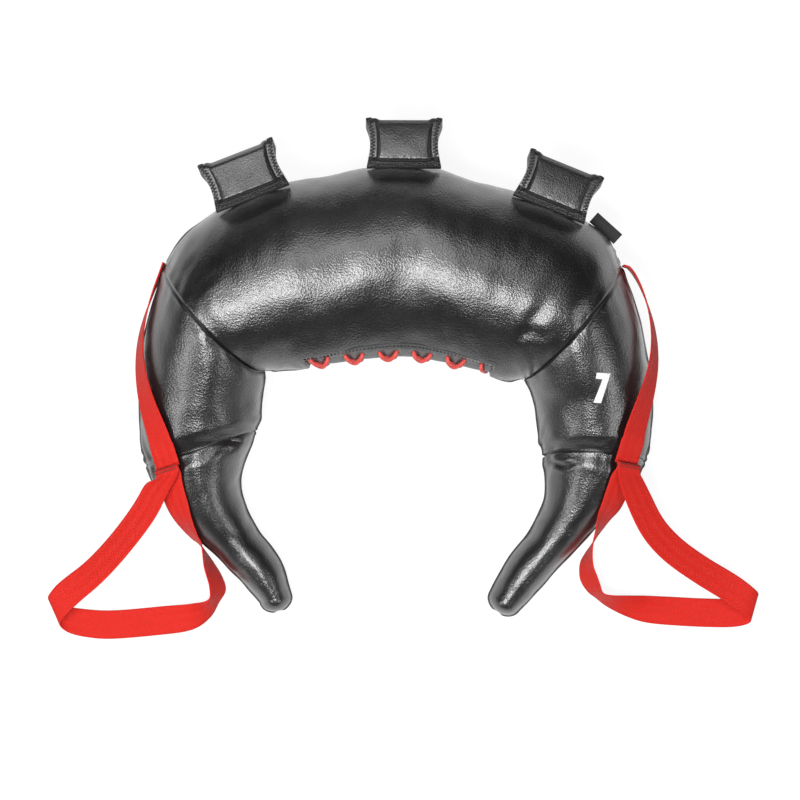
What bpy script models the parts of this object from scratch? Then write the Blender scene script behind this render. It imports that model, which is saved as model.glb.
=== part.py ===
"""Bulgarian bag: a stuffed leather crescent with two horn grips, webbing straps, padded handles and a laced mouth.

The bag lies on its back. X runs across the two horns, +Y points to the crown of the arc and +Z to the front.
The origin is on the floor, under the middle of the whole part.
"""
from math import cos, pi, radians, sin, sqrt, tan

import bmesh
import bpy
import numpy
from mathutils import Matrix, Vector
from mathutils.bvhtree import BVHTree

# Leather bag: overall sizes
HALF_SPAN = 0.265
REACH = 0.235
MIDDLE_X = 0.0014
MIDDLE_Y = 0.0022
BODY_THICKNESS = 0.138
OUTER_SEAM_HEIGHT = 0.058
INNER_SEAM_RISE = 0.014
TIP_CAP = 0.013
LEATHER = 0.002
SEAM_GAP = 0.0006
SEAM_ROLL = 0.0001
SEAM_BOW = 0.014
BODY_TUCK = 0.003
NECK_TUCK = 0.006
TUCK_REACH = 0.018
STUFFING_CLEARANCE = 0.0016
MOUTH_RECESS = 0.0060
MOUTH_RECESS_FROM = -0.7
WADDING_CORNER = 1.3
WADDING_EDGE = radians(7.0)
MERGE_DISTANCE = 0.000001

# Sand sleeve inside the stuffing
SAND_RADIUS = 0.027
SAND_CLEARANCE = 0.0018

# Laced mouth on the inner arc
FACING_WIDTH = 0.024
FACING_LEATHER = 0.0016
FACING_CLEARANCE = 0.0004
MOUTH_HALF_SLIT = 0.003
MOUTH_RIM = 0.016
LACE_RADIUS = 0.0018
LACE_CLEARANCE = 0.0005
LACE_HOLE_CLEARANCE = 0.0020
LACE_OFFSET = 0.0105
CROSS_COUNT = 5
LACE_MARGIN = 0.011
LACE_END_MARGIN = 0.0169
LACE_TURN = radians(15.0)
TONGUE_LEATHER = 0.0012
TONGUE_HALF_WIDTH = 0.023

# Webbing: side straps and hand loops
WEBBING_WIDTH = 0.030
WEBBING_THICKNESS = 0.0016
WEBBING_REST = 0.0004
STRAP_LIFT = 0.0028
STRAP_SEAM_LIFT = 0.0015
STRAP_SLACK = 0.005
STRAP_OVERLAP = 0.0035
LAYER_CLEARANCE = 0.0009
LOOP_DROP = 0.170
LOOP_SET_BACK = 0.0015
LOOP_LEAD = 0.008
LOOP_CLEARANCE = 0.0022
LAY_TURNS = 6

# Padded handles on the outer arc
HANDLE_WIDTH = 0.076
HANDLE_LENGTH = 0.051
HANDLE_HALF_HEIGHT = 0.019
HANDLE_LEATHER = 0.002
HANDLE_FOAM = 0.005
HANDLE_LINING = 0.0015
HANDLE_PLY_GAP = 0.0004
HANDLE_FLANGE = 0.007
HANDLE_BEVEL = 0.004
HANDLE_WAIST = 0.0025
HANDLE_WALL_GAP = 0.0007
HANDLE_RISE = radians(12.0)
LEFT_SEAT = radians(25.5)
CENTRE_SEAT = radians(19.2)
RIGHT_SEAT = radians(25.2)

# Woven label tab
LABEL_WIDTH = 0.034
LABEL_LENGTH = 0.013
LABEL_PLY = 0.0004
LABEL_FOLD = 0.0009
LABEL_WALL_GAP = -0.0006

HORN_FLEX = radians(4.0)

# Stations along the crescent, counted from the left tip to the right tip
LEFT_TIP, LEFT_NECK, LEFT_SEAM = 0, 5, 8
RIGHT_SEAM, RIGHT_NECK, RIGHT_TIP = 16, 19, 24
MOUTH_START_SHARE = 9.38
MOUTH_END_SHARE = 14.40
MOUTH_RAMP_SHARE = 0.1
LEFT_HANDLE_SHARE = 10.01
CENTRE_HANDLE_SHARE = 11.89
RIGHT_HANDLE_SHARE = 14.105
LABEL_SHARE = 15.05

# Inner edge x, y and outer edge x, y as shares of HALF_SPAN and REACH, then the height as a share of
# BODY_THICKNESS and how far the section bows along the crescent as a share of SEAM_BOW
station_shares = [
    (-0.447, -0.960, -0.565, -0.991, 0.290, 0.00),
    (-0.494, -0.804, -0.636, -0.901, 0.340, 0.00),
    (-0.584, -0.661, -0.745, -0.777, 0.377, 0.00),
    (-0.642, -0.501, -0.850, -0.665, 0.464, 0.00),
    (-0.633, -0.377, -0.935, -0.536, 0.543, 0.00),
    (-0.570, -0.226, -1.022, -0.385, 0.630, 0.00),
    (-0.557, -0.085, -1.035, -0.116, 0.745, 0.00),
    (-0.548, -0.005, -1.012, 0.190, 0.840, -0.50),
    (-0.551, 0.038, -0.932, 0.508, 0.915, -1.00),
    (-0.440, 0.043, -0.830, 0.650, 0.965, -0.50),
    (-0.300, 0.053, -0.600, 0.815, 1.000, 0.00),
    (-0.150, 0.084, -0.280, 0.896, 1.000, 0.00),
    (0.009, 0.097, 0.029, 0.936, 1.000, 0.00),
    (0.165, 0.064, 0.277, 0.862, 1.000, 0.00),
    (0.300, 0.019, 0.540, 0.780, 0.990, 0.00),
    (0.402, -0.004, 0.760, 0.648, 0.960, 0.30),
    (0.465, -0.001, 0.846, 0.495, 0.915, 0.65),
    (0.495, -0.065, 0.925, 0.200, 0.840, 0.30),
    (0.519, -0.155, 0.963, -0.072, 0.745, -0.30),
    (0.538, -0.341, 0.957, -0.372, 0.630, -0.70),
    (0.554, -0.425, 0.868, -0.520, 0.530, -0.30),
    (0.552, -0.537, 0.772, -0.630, 0.450, 0.00),
    (0.494, -0.679, 0.659, -0.772, 0.377, 0.00),
    (0.407, -0.804, 0.557, -0.897, 0.340, 0.00),
    (0.343, -0.947, 0.447, -1.027, 0.290, 0.00),
]
UNDERSIDE_FULLNESS_SHARE = 1.14
SLEEVE_LEVEL_SHARE = 0.48
PLAIN_EDGE_SHARE = 1.25
MOUTH_EDGE_SHARE = 0.35
FLEX_FADE_SHARE = 0.8
EDGE_STEP_SHARE = 0.3
BAR_ANGLE = radians(55.0)
BAR_DROP_SHARE = 0.15
CROSS_WIDTH_SHARE = 0.5

# Hand loops, from the bar down the inner run, round the floor and back up the outer run. Each row has the place
# from the bar's middle in x and y as shares of LOOP_DROP, the height as a share of the bar's height above the
# floor, the heading of the width direction in degrees, and its tilt in degrees
left_loop_shares = [
    (0.025, -0.107, 0.89, 190.0, -33.0),
    (0.063, -0.230, 0.76, 192.0, -37.0),
    (0.104, -0.336, 0.62, 196.0, -54.0),
    (0.142, -0.430, 0.49, 204.0, -70.0),
    (0.173, -0.493, 0.39, 206.0, -81.0),
    (0.195, -0.550, 0.32, 30.0, -88.0),
    (0.221, -0.624, 0.27, 22.0, -74.0),
    (0.255, -0.698, 0.26, 5.0, -64.0),
    (0.276, -0.772, 0.24, 345.0, -58.0),
    (0.254, -0.846, 0.24, 318.0, -70.0),
    (0.206, -0.904, 0.18, 292.0, -52.0),
    (0.104, -0.953, 0.07, 274.0, -20.0),
    (-0.086, -0.977, 0.00, 270.0, 0.0),
    (-0.374, -1.002, 0.00, 270.0, 0.0),
    (-0.540, -0.993, 0.00, 276.0, 0.0),
    (-0.674, -0.966, 0.04, 286.0, 0.0),
    (-0.735, -0.918, 0.12, 294.0, 0.0),
    (-0.703, -0.863, 0.20, 298.0, 2.0),
    (-0.627, -0.788, 0.24, 308.0, 12.0),
    (-0.471, -0.660, 0.32, 314.0, 22.0),
    (-0.303, -0.479, 0.49, 318.0, 25.0),
    (-0.154, -0.285, 0.72, 326.0, 25.0),
    (-0.074, -0.143, 0.91, 345.0, 30.0),
]
right_loop_shares = [
    (-0.042, -0.130, 0.91, 350.0, -35.0),
    (-0.088, -0.278, 0.73, 346.0, -44.0),
    (-0.129, -0.384, 0.58, 340.0, -65.0),
    (-0.159, -0.459, 0.47, 334.0, -79.0),
    (-0.184, -0.528, 0.38, 334.0, -88.0),
    (-0.203, -0.591, 0.31, 160.0, -79.0),
    (-0.214, -0.654, 0.27, 170.0, -65.0),
    (-0.201, -0.734, 0.26, 192.0, -56.0),
    (-0.170, -0.795, 0.24, 215.0, -62.0),
    (-0.133, -0.842, 0.24, 232.0, -73.0),
    (-0.068, -0.876, 0.20, 252.0, -62.0),
    (0.052, -0.910, 0.12, 266.0, -38.0),
    (0.172, -0.931, 0.04, 270.0, -14.0),
    (0.359, -0.945, 0.00, 270.0, 0.0),
    (0.556, -0.954, 0.00, 268.0, 0.0),
    (0.727, -0.952, 0.04, 260.0, 0.0),
    (0.822, -0.922, 0.12, 255.0, 0.0),
    (0.774, -0.870, 0.20, 250.0, 0.0),
    (0.661, -0.789, 0.24, 243.0, 6.0),
    (0.486, -0.683, 0.32, 236.0, 12.0),
    (0.309, -0.557, 0.46, 230.0, 12.0),
    (0.180, -0.419, 0.64, 222.0, 16.0),
    (0.094, -0.258, 0.81, 206.0, 24.0),
    (0.041, -0.136, 0.95, 188.0, 32.0),
]


def blend(start, end, share):
    return start + (end - start) * share


def ease(value):
    """0 below 0 and 1 above 1, smooth between."""
    value = min(max(value, 0.0), 1.0)
    return value * value * (3.0 - 2.0 * value)


def spread(start, end, count):
    """count + 1 values from start to end, drawn closer together at both ends."""
    return [blend(start, end, 0.5 - 0.5 * cos(pi * step / count)) for step in range(count + 1)]


def even(start, end, count):
    return [blend(start, end, step / count) for step in range(count + 1)]


def through(points, index, share):
    """The smooth curve through a list of points, between points[index] and the next one."""
    last = len(points) - 1
    before, start, end, after = [points[min(max(index + step, 0), last)] for step in (-1, 0, 1, 2)]
    if index == 0:
        before = start * 2.0 - end
    if index + 1 == last:
        after = end * 2.0 - start
    square = before * 2.0 - start * 5.0 + end * 4.0 - after
    cube = (start - end) * 3.0 + after - before
    return start + ((end - before) * share + square * share**2 + cube * share**3) * 0.5


def smooth_route(points, steps):
    route = [through(points, index, step / steps) for index in range(len(points) - 1) for step in range(steps)]
    return route + [points[-1]]


def station(u):
    """Shares at place u. Each sewn segment is a smooth curve of its own, so the seams keep their corners."""
    seams = [LEFT_TIP, LEFT_NECK, LEFT_SEAM, RIGHT_SEAM, RIGHT_NECK, RIGHT_TIP]
    u = min(max(u, LEFT_TIP), RIGHT_TIP)
    low, high = next((a, b) for a, b in zip(seams, seams[1:]) if u <= b)
    index = min(int(u), high - 1)
    rows = [numpy.array(row) for row in station_shares[low : high + 1]]
    return through(rows, index - low, u - index)


def section(u):
    """Centre, direction across (inner to outer), direction along, half width, height, bow and end-cap size."""
    inner_x, inner_y, outer_x, outer_y, height, bow = station(u)
    inner = Vector((inner_x * HALF_SPAN + MIDDLE_X, inner_y * REACH + MIDDLE_Y, 0.0))
    outer = Vector((outer_x * HALF_SPAN + MIDDLE_X, outer_y * REACH + MIDDLE_Y, 0.0))
    across = (outer - inner).normalized()
    along = Vector((across.y, -across.x, 0.0))
    past = max(LEFT_TIP - u, u - RIGHT_TIP, 0.0) * pi / 2.0
    centre = (inner + outer) / 2.0 + along * (TIP_CAP * sin(past) * (1.0 if u > LEFT_SEAM else -1.0))
    return centre, across, along, (outer - inner).length / 2.0, height * BODY_THICKNESS, bow * SEAM_BOW, cos(past)


def tuck(u):
    """How deep the seams pull the leather in at u."""
    total = 0.0
    for seam, depth in ((LEFT_NECK, NECK_TUCK), (LEFT_SEAM, BODY_TUCK), (RIGHT_SEAM, BODY_TUCK), (RIGHT_NECK, NECK_TUCK)):
        away = (section(u)[0] - section(seam)[0]).length
        total += depth * (1.0 - ease(away / TUCK_REACH))
    return total


def mouth_share(u):
    """1 along the laced mouth, 0 well away from it."""
    return ease((u - MOUTH_START_SHARE + 0.6) / 0.8) * ease((MOUTH_END_SHARE + 0.6 - u) / 0.8)


def seam_height(u, inward):
    """Height of the line between front and back panels, from the outer seam (0) to the inner seam (1)."""
    thickness = section(u)[4]
    return (OUTER_SEAM_HEIGHT + INNER_SEAM_RISE * inward * mouth_share(u)) * thickness / BODY_THICKNESS


def skin(u, phi):
    """Outer face of the leather. phi is 0 on the outer seam, a quarter turn on top, half a turn on the inner seam."""
    centre, across, along, half, thickness, bow, cap = section(u)
    dip = tuck(u)
    inward = (1.0 - cos(phi)) / 2.0
    seam = seam_height(u, inward)
    swell = abs(sin(phi)) ** (PLAIN_EDGE_SHARE + MOUTH_EDGE_SHARE * mouth_share(u) * inward)
    depth = thickness - dip - seam if sin(phi) > 0.0 else -UNDERSIDE_FULLNESS_SHARE * seam
    point = centre + across * ((half - dip) * cos(phi) * cap) + along * (bow * abs(sin(phi)))
    point.z = max(seam + depth * swell * cap, 0.0)
    return point


def outward(u, phi):
    """Direction square to the leather."""
    step = 0.02
    around = skin(u, phi + step) - skin(u, phi - step)
    onward = skin(u + step, phi) - skin(u - step, phi)
    square = around.cross(onward)
    if square.length < around.length * onward.length * step or around.length == 0.0:
        return section(u)[2] * (1.0 if u > LEFT_SEAM else -1.0)
    return square.normalized()


def over_skin(u, phi, lift):
    """A point at a height above the leather, or below it where lift is negative."""
    point = skin(u, phi) + outward(u, phi) * lift
    point.z = max(point.z, -min(lift, 0.0))
    return point


def phi_from_mouth(u, distance):
    """phi of the point at a distance from the inner seam, measured on the leather, upwards on the front."""
    side = 1.0 if distance >= 0.0 else -1.0
    angles = even(0.0, 1.2, 48)
    points = [skin(u, pi - side * angle) for angle in angles]
    lengths = [0.0]
    for start, end in zip(points, points[1:]):
        lengths.append(lengths[-1] + (end - start).length)
    return pi - side * float(numpy.interp(abs(distance), lengths, angles))


def mouth_places():
    """Lengths along the inner edge from the mouth's start, and the places u that they belong to."""
    places = even(MOUTH_START_SHARE - 0.5, MOUTH_END_SHARE + 0.5, 240)
    points = [skin(u, pi) for u in places]
    lengths = [0.0]
    for start, end in zip(points, points[1:]):
        lengths.append(lengths[-1] + (end - start).length)
    zero = float(numpy.interp(MOUTH_START_SHARE, places, lengths))
    return [length - zero for length in lengths], places


def material(name, colour, roughness, metallic=0.0):
    made = bpy.data.materials.new(name)
    made.use_nodes = True
    shader = made.node_tree.nodes["Principled BSDF"]
    shader.inputs["Base Color"].default_value = (*colour, 1.0)
    shader.inputs["Roughness"].default_value = roughness
    shader.inputs["Metallic"].default_value = metallic
    return made


def add_object(name, mesh, finish, folder="bulgarian_bag"):
    """Each piece gets a material of its own, made from its finish: a colour and a roughness."""
    piece = bpy.data.objects.new(name, mesh)
    colour, roughness = finish
    mesh.materials.append(material(name, colour, roughness))
    bpy.data.collections[folder].objects.link(piece)
    return piece


def add_mesh(name, points, faces, finish):
    mesh = bpy.data.meshes.new(name)
    mesh.from_pydata([tuple(point) for point in points], [], faces)
    shape = bmesh.new()
    shape.from_mesh(mesh)
    bmesh.ops.remove_doubles(shape, verts=shape.verts, dist=MERGE_DISTANCE)
    bmesh.ops.dissolve_degenerate(shape, edges=shape.edges, dist=MERGE_DISTANCE)
    shape.to_mesh(mesh)
    shape.free()
    mesh.shade_smooth()
    mesh.set_sharp_from_angle(angle=radians(50.0))
    return add_object(name, mesh, finish)


def grid_faces(rows, columns, first=0, flip=False):
    faces = []
    for row in range(rows - 1):
        for column in range(columns - 1):
            corner = first + row * columns + column
            face = (corner, corner + 1, corner + columns + 1, corner + columns)
            faces.append(face[::-1] if flip else face)
    return faces


def sheet(name, rows, thickness, side, finish):
    """An open surface given its thickness: side is -1 below the surface, 0 about it and 1 above it."""
    points = [point for row in rows for point in row]
    piece = add_mesh(name, points, grid_faces(len(rows), len(rows[0])), finish)
    wall = piece.modifiers.new("thickness", "SOLIDIFY")
    wall.thickness = thickness
    wall.offset = side
    return piece


def slab(name, face_rows, back_rows, finish):
    """A closed body between two unlike surfaces with the same grid."""
    rows, columns = len(face_rows), len(face_rows[0])
    points = [point for row in face_rows + back_rows for point in row]
    back = rows * columns
    faces = grid_faces(rows, columns) + grid_faces(rows, columns, back, flip=True)
    rim = [row * columns for row in range(rows)]
    rim += [(rows - 1) * columns + column for column in range(1, columns)]
    rim += [row * columns + columns - 1 for row in reversed(range(rows - 1))]
    rim += [column for column in reversed(range(1, columns - 1))]
    for start, end in zip(rim, rim[1:] + rim[:1]):
        faces.append((start, end, back + end, back + start))
    return add_mesh(name, points, faces, finish)


def stuffing(name, rings, finish, bore=None, ends=None):
    """A closed loft through rings of points: solid, between its two end points, or with a bore open at both ends."""
    size = len(rings[0])
    points = [point for ring in rings for point in ring]
    faces = []
    for row in range(len(rings) - 1):
        for column in range(size):
            beside = (column + 1) % size
            low, high = row * size, (row + 1) * size
            faces.append((low + column, low + beside, high + beside, high + column))
    last = (len(rings) - 1) * size
    if bore is None:
        points += ends
        for column in range(size):
            beside = (column + 1) % size
            faces.append((beside, column, len(points) - 2))
            faces.append((last + column, last + beside, len(points) - 1))
    else:
        inside = len(points)
        points += [point for ring in bore for point in ring]
        faces += [tuple(corner + inside for corner in reversed(face)) for face in list(faces)]
        for column in range(size):
            beside = (column + 1) % size
            faces.append((column, inside + column, inside + beside, beside))
            faces.append((last + column, last + beside, inside + last + beside, inside + last + column))
    return add_mesh(name, points, faces, finish)


def seam_shift(u, segment):
    """Moves a segment's ends off the seams: half the gap, and on a horn the wedge that lets it flex."""
    start, end = segment
    shift = 0.0
    if u == start and start != LEFT_TIP - 1:
        shift = SEAM_GAP / 2.0 + SEAM_ROLL
    if u == end and end != RIGHT_TIP + 1:
        shift = -SEAM_GAP / 2.0 - SEAM_ROLL
    return shift


def horn_wedge(u, point, segment):
    """Draws the horn back from the neck in proportion to the distance from its pivot, so that it can turn."""
    neck = {LEFT_TIP - 1: LEFT_NECK, RIGHT_NECK: RIGHT_NECK}.get(segment[0])
    if neck is None:
        return Vector()
    centre, across, along = section(neck)[:3]
    away = abs((point - centre).dot(across))
    fade = 1.0 - min(abs(u - neck) / FLEX_FADE_SHARE, 1.0)
    return along * (away * tan(HORN_FLEX) * fade * (-1.0 if neck == LEFT_NECK else 1.0))


def leather_point(u, phi, lift, segment):
    point = over_skin(u, phi, lift) if lift else skin(u, phi)
    return point + section(u)[2] * seam_shift(u, segment) + horn_wedge(u, point, segment)


def mouth_opening(u):
    """How far the mouth is open at u, and the angle at which the panels' cut edges stand off the inner seam."""
    share = ease((u - MOUTH_START_SHARE) / MOUTH_RAMP_SHARE) * ease((MOUTH_END_SHARE - u) / MOUTH_RAMP_SHARE)
    return share, share * (pi - phi_from_mouth(u, MOUTH_RIM)) if share else 0.0


def part_edges(row, side, sewn_share):
    """Lifts a panel's two sewn edges off the seam's plane, so that the leather's inner face stays clear of it too.
    The edge at the mouth is lifted only where it is sewn, and twice as far at the mouth's corners."""
    if (row[0] - row[len(row) // 2]).length < MERGE_DISTANCE:
        for point in row:
            point.z += side * (SEAM_GAP / 2.0 + LEATHER)
        return
    for edge, next_in, sewn in ((0, 1, 1.0), (-1, -2, sewn_share)):
        step = row[next_in] - row[edge]
        slope = sqrt(step.x**2 + step.y**2) / step.length
        row[edge].z += side * sewn * (SEAM_GAP / 2.0 + LEATHER * slope)


def leather_panel(name, places, segment, side, columns, finish):
    """Half of a stuffed tube: the front panel (side 1) or the back panel (side -1), 2 mm leather."""
    rows = []
    for u in places:
        open_share, rim = mouth_opening(u)
        angles = even(0.0, side * (pi - rim), columns)
        row = [leather_point(u, phi, 0.0, segment) for phi in angles]
        at_corner = u in (MOUTH_START_SHARE, MOUTH_END_SHARE)
        part_edges(row, side, 0.0 if open_share == 1.0 else 2.0 if at_corner else 1.0)
        rows.append(row if side > 0 else row[::-1])
    return sheet(name, rows, LEATHER, -1.0, finish)


def sleeve_ring(u, radius, count):
    """Ring of the sand sleeve's path, in the section's own upright plane."""
    centre, across, along, _, thickness, bow, _ = section(u)
    ring = []
    for turn in (2.0 * pi * step / count for step in range(count)):
        level = centre + across * (radius * cos(turn)) + along * (bow * abs(sin(turn)))
        ring.append(level + Vector((0.0, 0.0, thickness * SLEEVE_LEVEL_SHARE + radius * sin(turn))))
    return ring


def end_point(u, segment):
    """Middle of a stuffing's end face."""
    centre, _, along, _, thickness, _, _ = section(u)
    return centre + Vector((0.0, 0.0, thickness * SLEEVE_LEVEL_SHARE)) + along * seam_shift(u, segment)


def wadding(name, places, segment, finish, columns, bored=True):
    """Stuffing just inside the leather. Its corners lie under the panels' corners: under each one in front, under
    every second one at the back. The body and the arms have the bore that the sand sleeve lies in."""
    front_columns, back_columns = columns
    rings, bore = [], []
    for u in places:
        rim = mouth_opening(u)[1]
        last = pi - max(rim, WADDING_EDGE)
        angles = even(0.0, pi - rim, front_columns)[:-1] + [last, -last]
        angles += even(-pi + rim, 0.0, back_columns // 2)[1:-1]
        ring = []
        for phi in angles:
            corner = WADDING_CORNER if phi == 0.0 else 1.0
            inset = (LEATHER + STUFFING_CLEARANCE) * corner
            if segment == (LEFT_SEAM, RIGHT_SEAM) and cos(phi) < MOUTH_RECESS_FROM:
                inset += MOUTH_RECESS * mouth_share(u)
            ring.append(leather_point(u, phi, -inset, segment))
        sleeve = sleeve_ring(u, SAND_RADIUS + SAND_CLEARANCE, len(ring))
        if u in segment:
            inward = section(u)[2] * (STUFFING_CLEARANCE / 2.0 if u == segment[0] else -STUFFING_CLEARANCE / 2.0)
            ring = [point + inward for point in ring]
            sleeve = [point + inward for point in sleeve]
        rings.append(ring)
        bore.append(sleeve)
    if bored:
        return stuffing(name, rings, finish, bore)
    return stuffing(name, rings, finish, ends=[end_point(u, segment) for u in (places[0], places[-1])])


LEATHER_FINISH = ((0.018, 0.018, 0.019), 0.38)
WEBBING_FINISH = ((0.75, 0.03, 0.02), 0.7)
WADDING_FINISH = ((0.62, 0.60, 0.55), 0.95)
SAND_FINISH = ((0.45, 0.36, 0.24), 0.9)
FOAM_FINISH = ((0.25, 0.25, 0.27), 0.95)
LABEL_FINISH = ((0.03, 0.03, 0.03), 0.8)

# Facets round the front and the back of a section
BODY_COLUMNS = (10, 8)
HORN_COLUMNS = (8, 6)


def make_body():
    segment = (LEFT_SEAM, RIGHT_SEAM)
    front = spread(LEFT_SEAM, MOUTH_START_SHARE, 3) + even(MOUTH_START_SHARE, MOUTH_END_SHARE, 14)[1:-1]
    front += spread(MOUTH_END_SHARE, RIGHT_SEAM, 3)
    ramp = [MOUTH_START_SHARE + MOUTH_RAMP_SHARE * share for share in (0.5, 1.0)]
    ramp += [MOUTH_END_SHARE - MOUTH_RAMP_SHARE * share for share in (0.5, 1.0)]
    places = sorted(front + ramp)
    leather_panel("body_front_panel", places, segment, 1, BODY_COLUMNS[0], LEATHER_FINISH)
    leather_panel("body_back_panel", places, segment, -1, BODY_COLUMNS[1], LEATHER_FINISH)
    filling = [u for step, u in enumerate(places) if step % 2 == 0 or not MOUTH_START_SHARE < u < MOUTH_END_SHARE]
    wadding("body_wadding", filling, segment, WADDING_FINISH, BODY_COLUMNS)
    sleeve = even(LEFT_NECK + 0.5, LEFT_SEAM, 4)[:-1] + filling + even(RIGHT_SEAM, RIGHT_NECK - 0.5, 4)[1:]
    ends = [end_point(u, segment) for u in (sleeve[0], sleeve[-1])]
    stuffing("sand_sleeve", [sleeve_ring(u, SAND_RADIUS, 15) for u in sleeve], SAND_FINISH, ends=ends)


def make_arm(hand, segment):
    places = spread(segment[0], segment[1], 7)
    leather_panel(hand + "_arm_front_panel", places, segment, 1, BODY_COLUMNS[0], LEATHER_FINISH)
    leather_panel(hand + "_arm_back_panel", places, segment, -1, BODY_COLUMNS[1], LEATHER_FINISH)
    wadding(hand + "_arm_wadding", places, segment, WADDING_FINISH, BODY_COLUMNS)


def make_horn(hand, segment, neck, tip):
    """One grip: two covers sewn along their edges, round a firm filling."""
    outer = 1.0 if tip > neck else -1.0
    places = spread(neck, tip, 7) + [tip + outer * share for share in (0.4, 0.75, 1.0)]
    filling = places[:-2]
    if outer < 0.0:
        places, filling = places[::-1], filling[::-1]
    leather_panel(hand + "_horn_front_cover", places, segment, 1, HORN_COLUMNS[0], LEATHER_FINISH)
    leather_panel(hand + "_horn_back_cover", places, segment, -1, HORN_COLUMNS[1], LEATHER_FINISH)
    wadding(hand + "_horn_wadding", filling, segment, WADDING_FINISH, HORN_COLUMNS, bored=False)


def mouth_length():
    return float(numpy.interp(MOUTH_END_SHARE, MOUTH_TABLE[1], MOUTH_TABLE[0]))


def lace_holes():
    """Lengths along the mouth of the front holes and of the back holes, spread evenly over the mouth."""
    pitch = (mouth_length() - LACE_MARGIN - LACE_END_MARGIN) / CROSS_COUNT
    cross = pitch * CROSS_WIDTH_SHARE
    starts = [LACE_MARGIN + pitch * number for number in range(CROSS_COUNT)]
    last = LACE_MARGIN + pitch * CROSS_COUNT
    pairs = [place for start in starts for place in (start, start + cross)]
    return pairs + [last], pairs + [last + cross / 2.0]


def mouth_point(length, distance, lift):
    """A point by its length along the mouth, its distance from the slit (front positive) and its lift."""
    u = float(numpy.interp(length, *MOUTH_TABLE))
    phi = phi_from_mouth(u, distance)
    point, direction = skin(u, phi), outward(u, phi)
    return point + direction * lift


def make_facing(name, side, holes):
    """Leather strip over the mouth's edge, with the lace holes punched through it."""
    lengths = even(LACE_MARGIN / 2.0, mouth_length() - LACE_MARGIN / 2.0, 16)
    distances = [MOUTH_HALF_SLIT, LACE_OFFSET, MOUTH_RIM, FACING_WIDTH]
    rows = []
    for length in lengths:
        row = [mouth_point(length, side * distance, FACING_CLEARANCE) for distance in distances]
        rows.append(row[::-1] if side > 0 else row)
    strip = sheet(name, rows, FACING_LEATHER, 1.0, LEATHER_FINISH)
    punch = bmesh.new()
    for length in holes:
        middle = mouth_point(length, side * LACE_OFFSET, FACING_CLEARANCE + FACING_LEATHER / 2.0)
        above = mouth_point(length, side * LACE_OFFSET, FACING_CLEARANCE + FACING_LEATHER)
        turn = (above - middle).to_track_quat("Z", "Y").to_matrix().to_4x4()
        radius = LACE_RADIUS + LACE_HOLE_CLEARANCE
        bmesh.ops.create_cone(
            punch, cap_ends=True, segments=8, radius1=radius, radius2=radius,
            depth=FACING_LEATHER * 4.0, matrix=Matrix.Translation(middle) @ turn,
        )
    mesh = bpy.data.meshes.new(name + "_punch")
    punch.to_mesh(mesh)
    punch.free()
    cutter = add_object(name + "_punch", mesh, LEATHER_FINISH, "cutters")
    cutter.hide_render = True
    cutter.display_type = "WIRE"
    cut = strip.modifiers.new("lace_holes", "BOOLEAN")
    cut.operation = "DIFFERENCE"
    cut.solver = "EXACT"
    cut.object = cutter
    return strip


def lace_route():
    """One cord: out of a front hole, across to the back, along inside, out again and over the first stroke."""
    inside = FACING_CLEARANCE - LACE_CLEARANCE - LACE_RADIUS
    outside = FACING_CLEARANCE + FACING_LEATHER + LACE_CLEARANCE + LACE_RADIUS
    over = outside + 2.0 * LACE_RADIUS + LACE_CLEARANCE
    middle = (inside + outside) / 2.0
    turn = 1.2 * LACE_RADIUS
    front, back = lace_holes()
    places = [(front[0] - 2.4 * turn, LACE_OFFSET, inside), (front[0] - turn, LACE_OFFSET, inside)]

    def stroke(start, end, side, crest):
        step = (end - start) * 0.16
        places.append((start, side * LACE_OFFSET, inside))
        places.append((start, side * LACE_OFFSET, middle))
        places.append((start + step, side * LACE_OFFSET * 0.72, outside))
        places.append(((start + end) / 2.0, 0.0, crest))
        places.append((end - step, -side * LACE_OFFSET * 0.72, outside))
        places.append((end, -side * LACE_OFFSET, middle))
        places.append((end, -side * LACE_OFFSET, inside))

    for number in range(CROSS_COUNT):
        left, right = front[2 * number], front[2 * number + 1]
        stroke(left, right, 1.0, outside)
        places.append((right - turn, -LACE_OFFSET, inside))
        places.append((left + turn, -LACE_OFFSET, inside))
        stroke(left, right, -1.0, over)
        places.append((right + turn, LACE_OFFSET, inside))
        places.append((front[2 * number + 2] - turn, LACE_OFFSET, inside))
    stroke(front[-1], back[-1], 1.0, outside)
    places.append((back[-1] + turn, -LACE_OFFSET, inside))
    places.append((back[-1] + 2.4 * turn, -LACE_OFFSET, inside))
    return thin(smooth_route([mouth_point(*place) for place in places], 2))


def thin(route):
    """Leaves out points where a route hardly turns."""
    kept = [route[0]]
    for point, after in zip(route[1:], route[2:]):
        if (point - kept[-1]).angle(after - point) > LACE_TURN:
            kept.append(point)
    return kept + [route[-1]]


def make_mouth():
    """The feature that takes the most skill: two punched facings over a tongue, and the one lace through them."""
    front, back = lace_holes()
    make_facing("mouth_front_facing", 1, front)
    make_facing("mouth_back_facing", -1, back)
    under = FACING_CLEARANCE - 2.0 * (LACE_CLEARANCE + LACE_RADIUS)
    distances = [side * TONGUE_HALF_WIDTH for side in (1.0, 0.35, -0.35, -1.0)]
    rows = []
    for length in even(LACE_MARGIN / 2.0, mouth_length() - LACE_MARGIN / 2.0, 14):
        rows.append([mouth_point(length, distance, under) for distance in distances])
    sheet("mouth_tongue", rows, TONGUE_LEATHER, -1.0, LEATHER_FINISH)
    cord = bpy.data.curves.new("lace", "CURVE")
    cord.dimensions = "3D"
    cord.bevel_depth = LACE_RADIUS
    cord.bevel_resolution = 1
    cord.use_fill_caps = True
    route = lace_route()
    spline = cord.splines.new("POLY")
    spline.points.add(len(route) - 1)
    for knot, point in zip(spline.points, route):
        knot.co = (*point, 1.0)
    add_object("lace", cord, WEBBING_FINISH)


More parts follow.
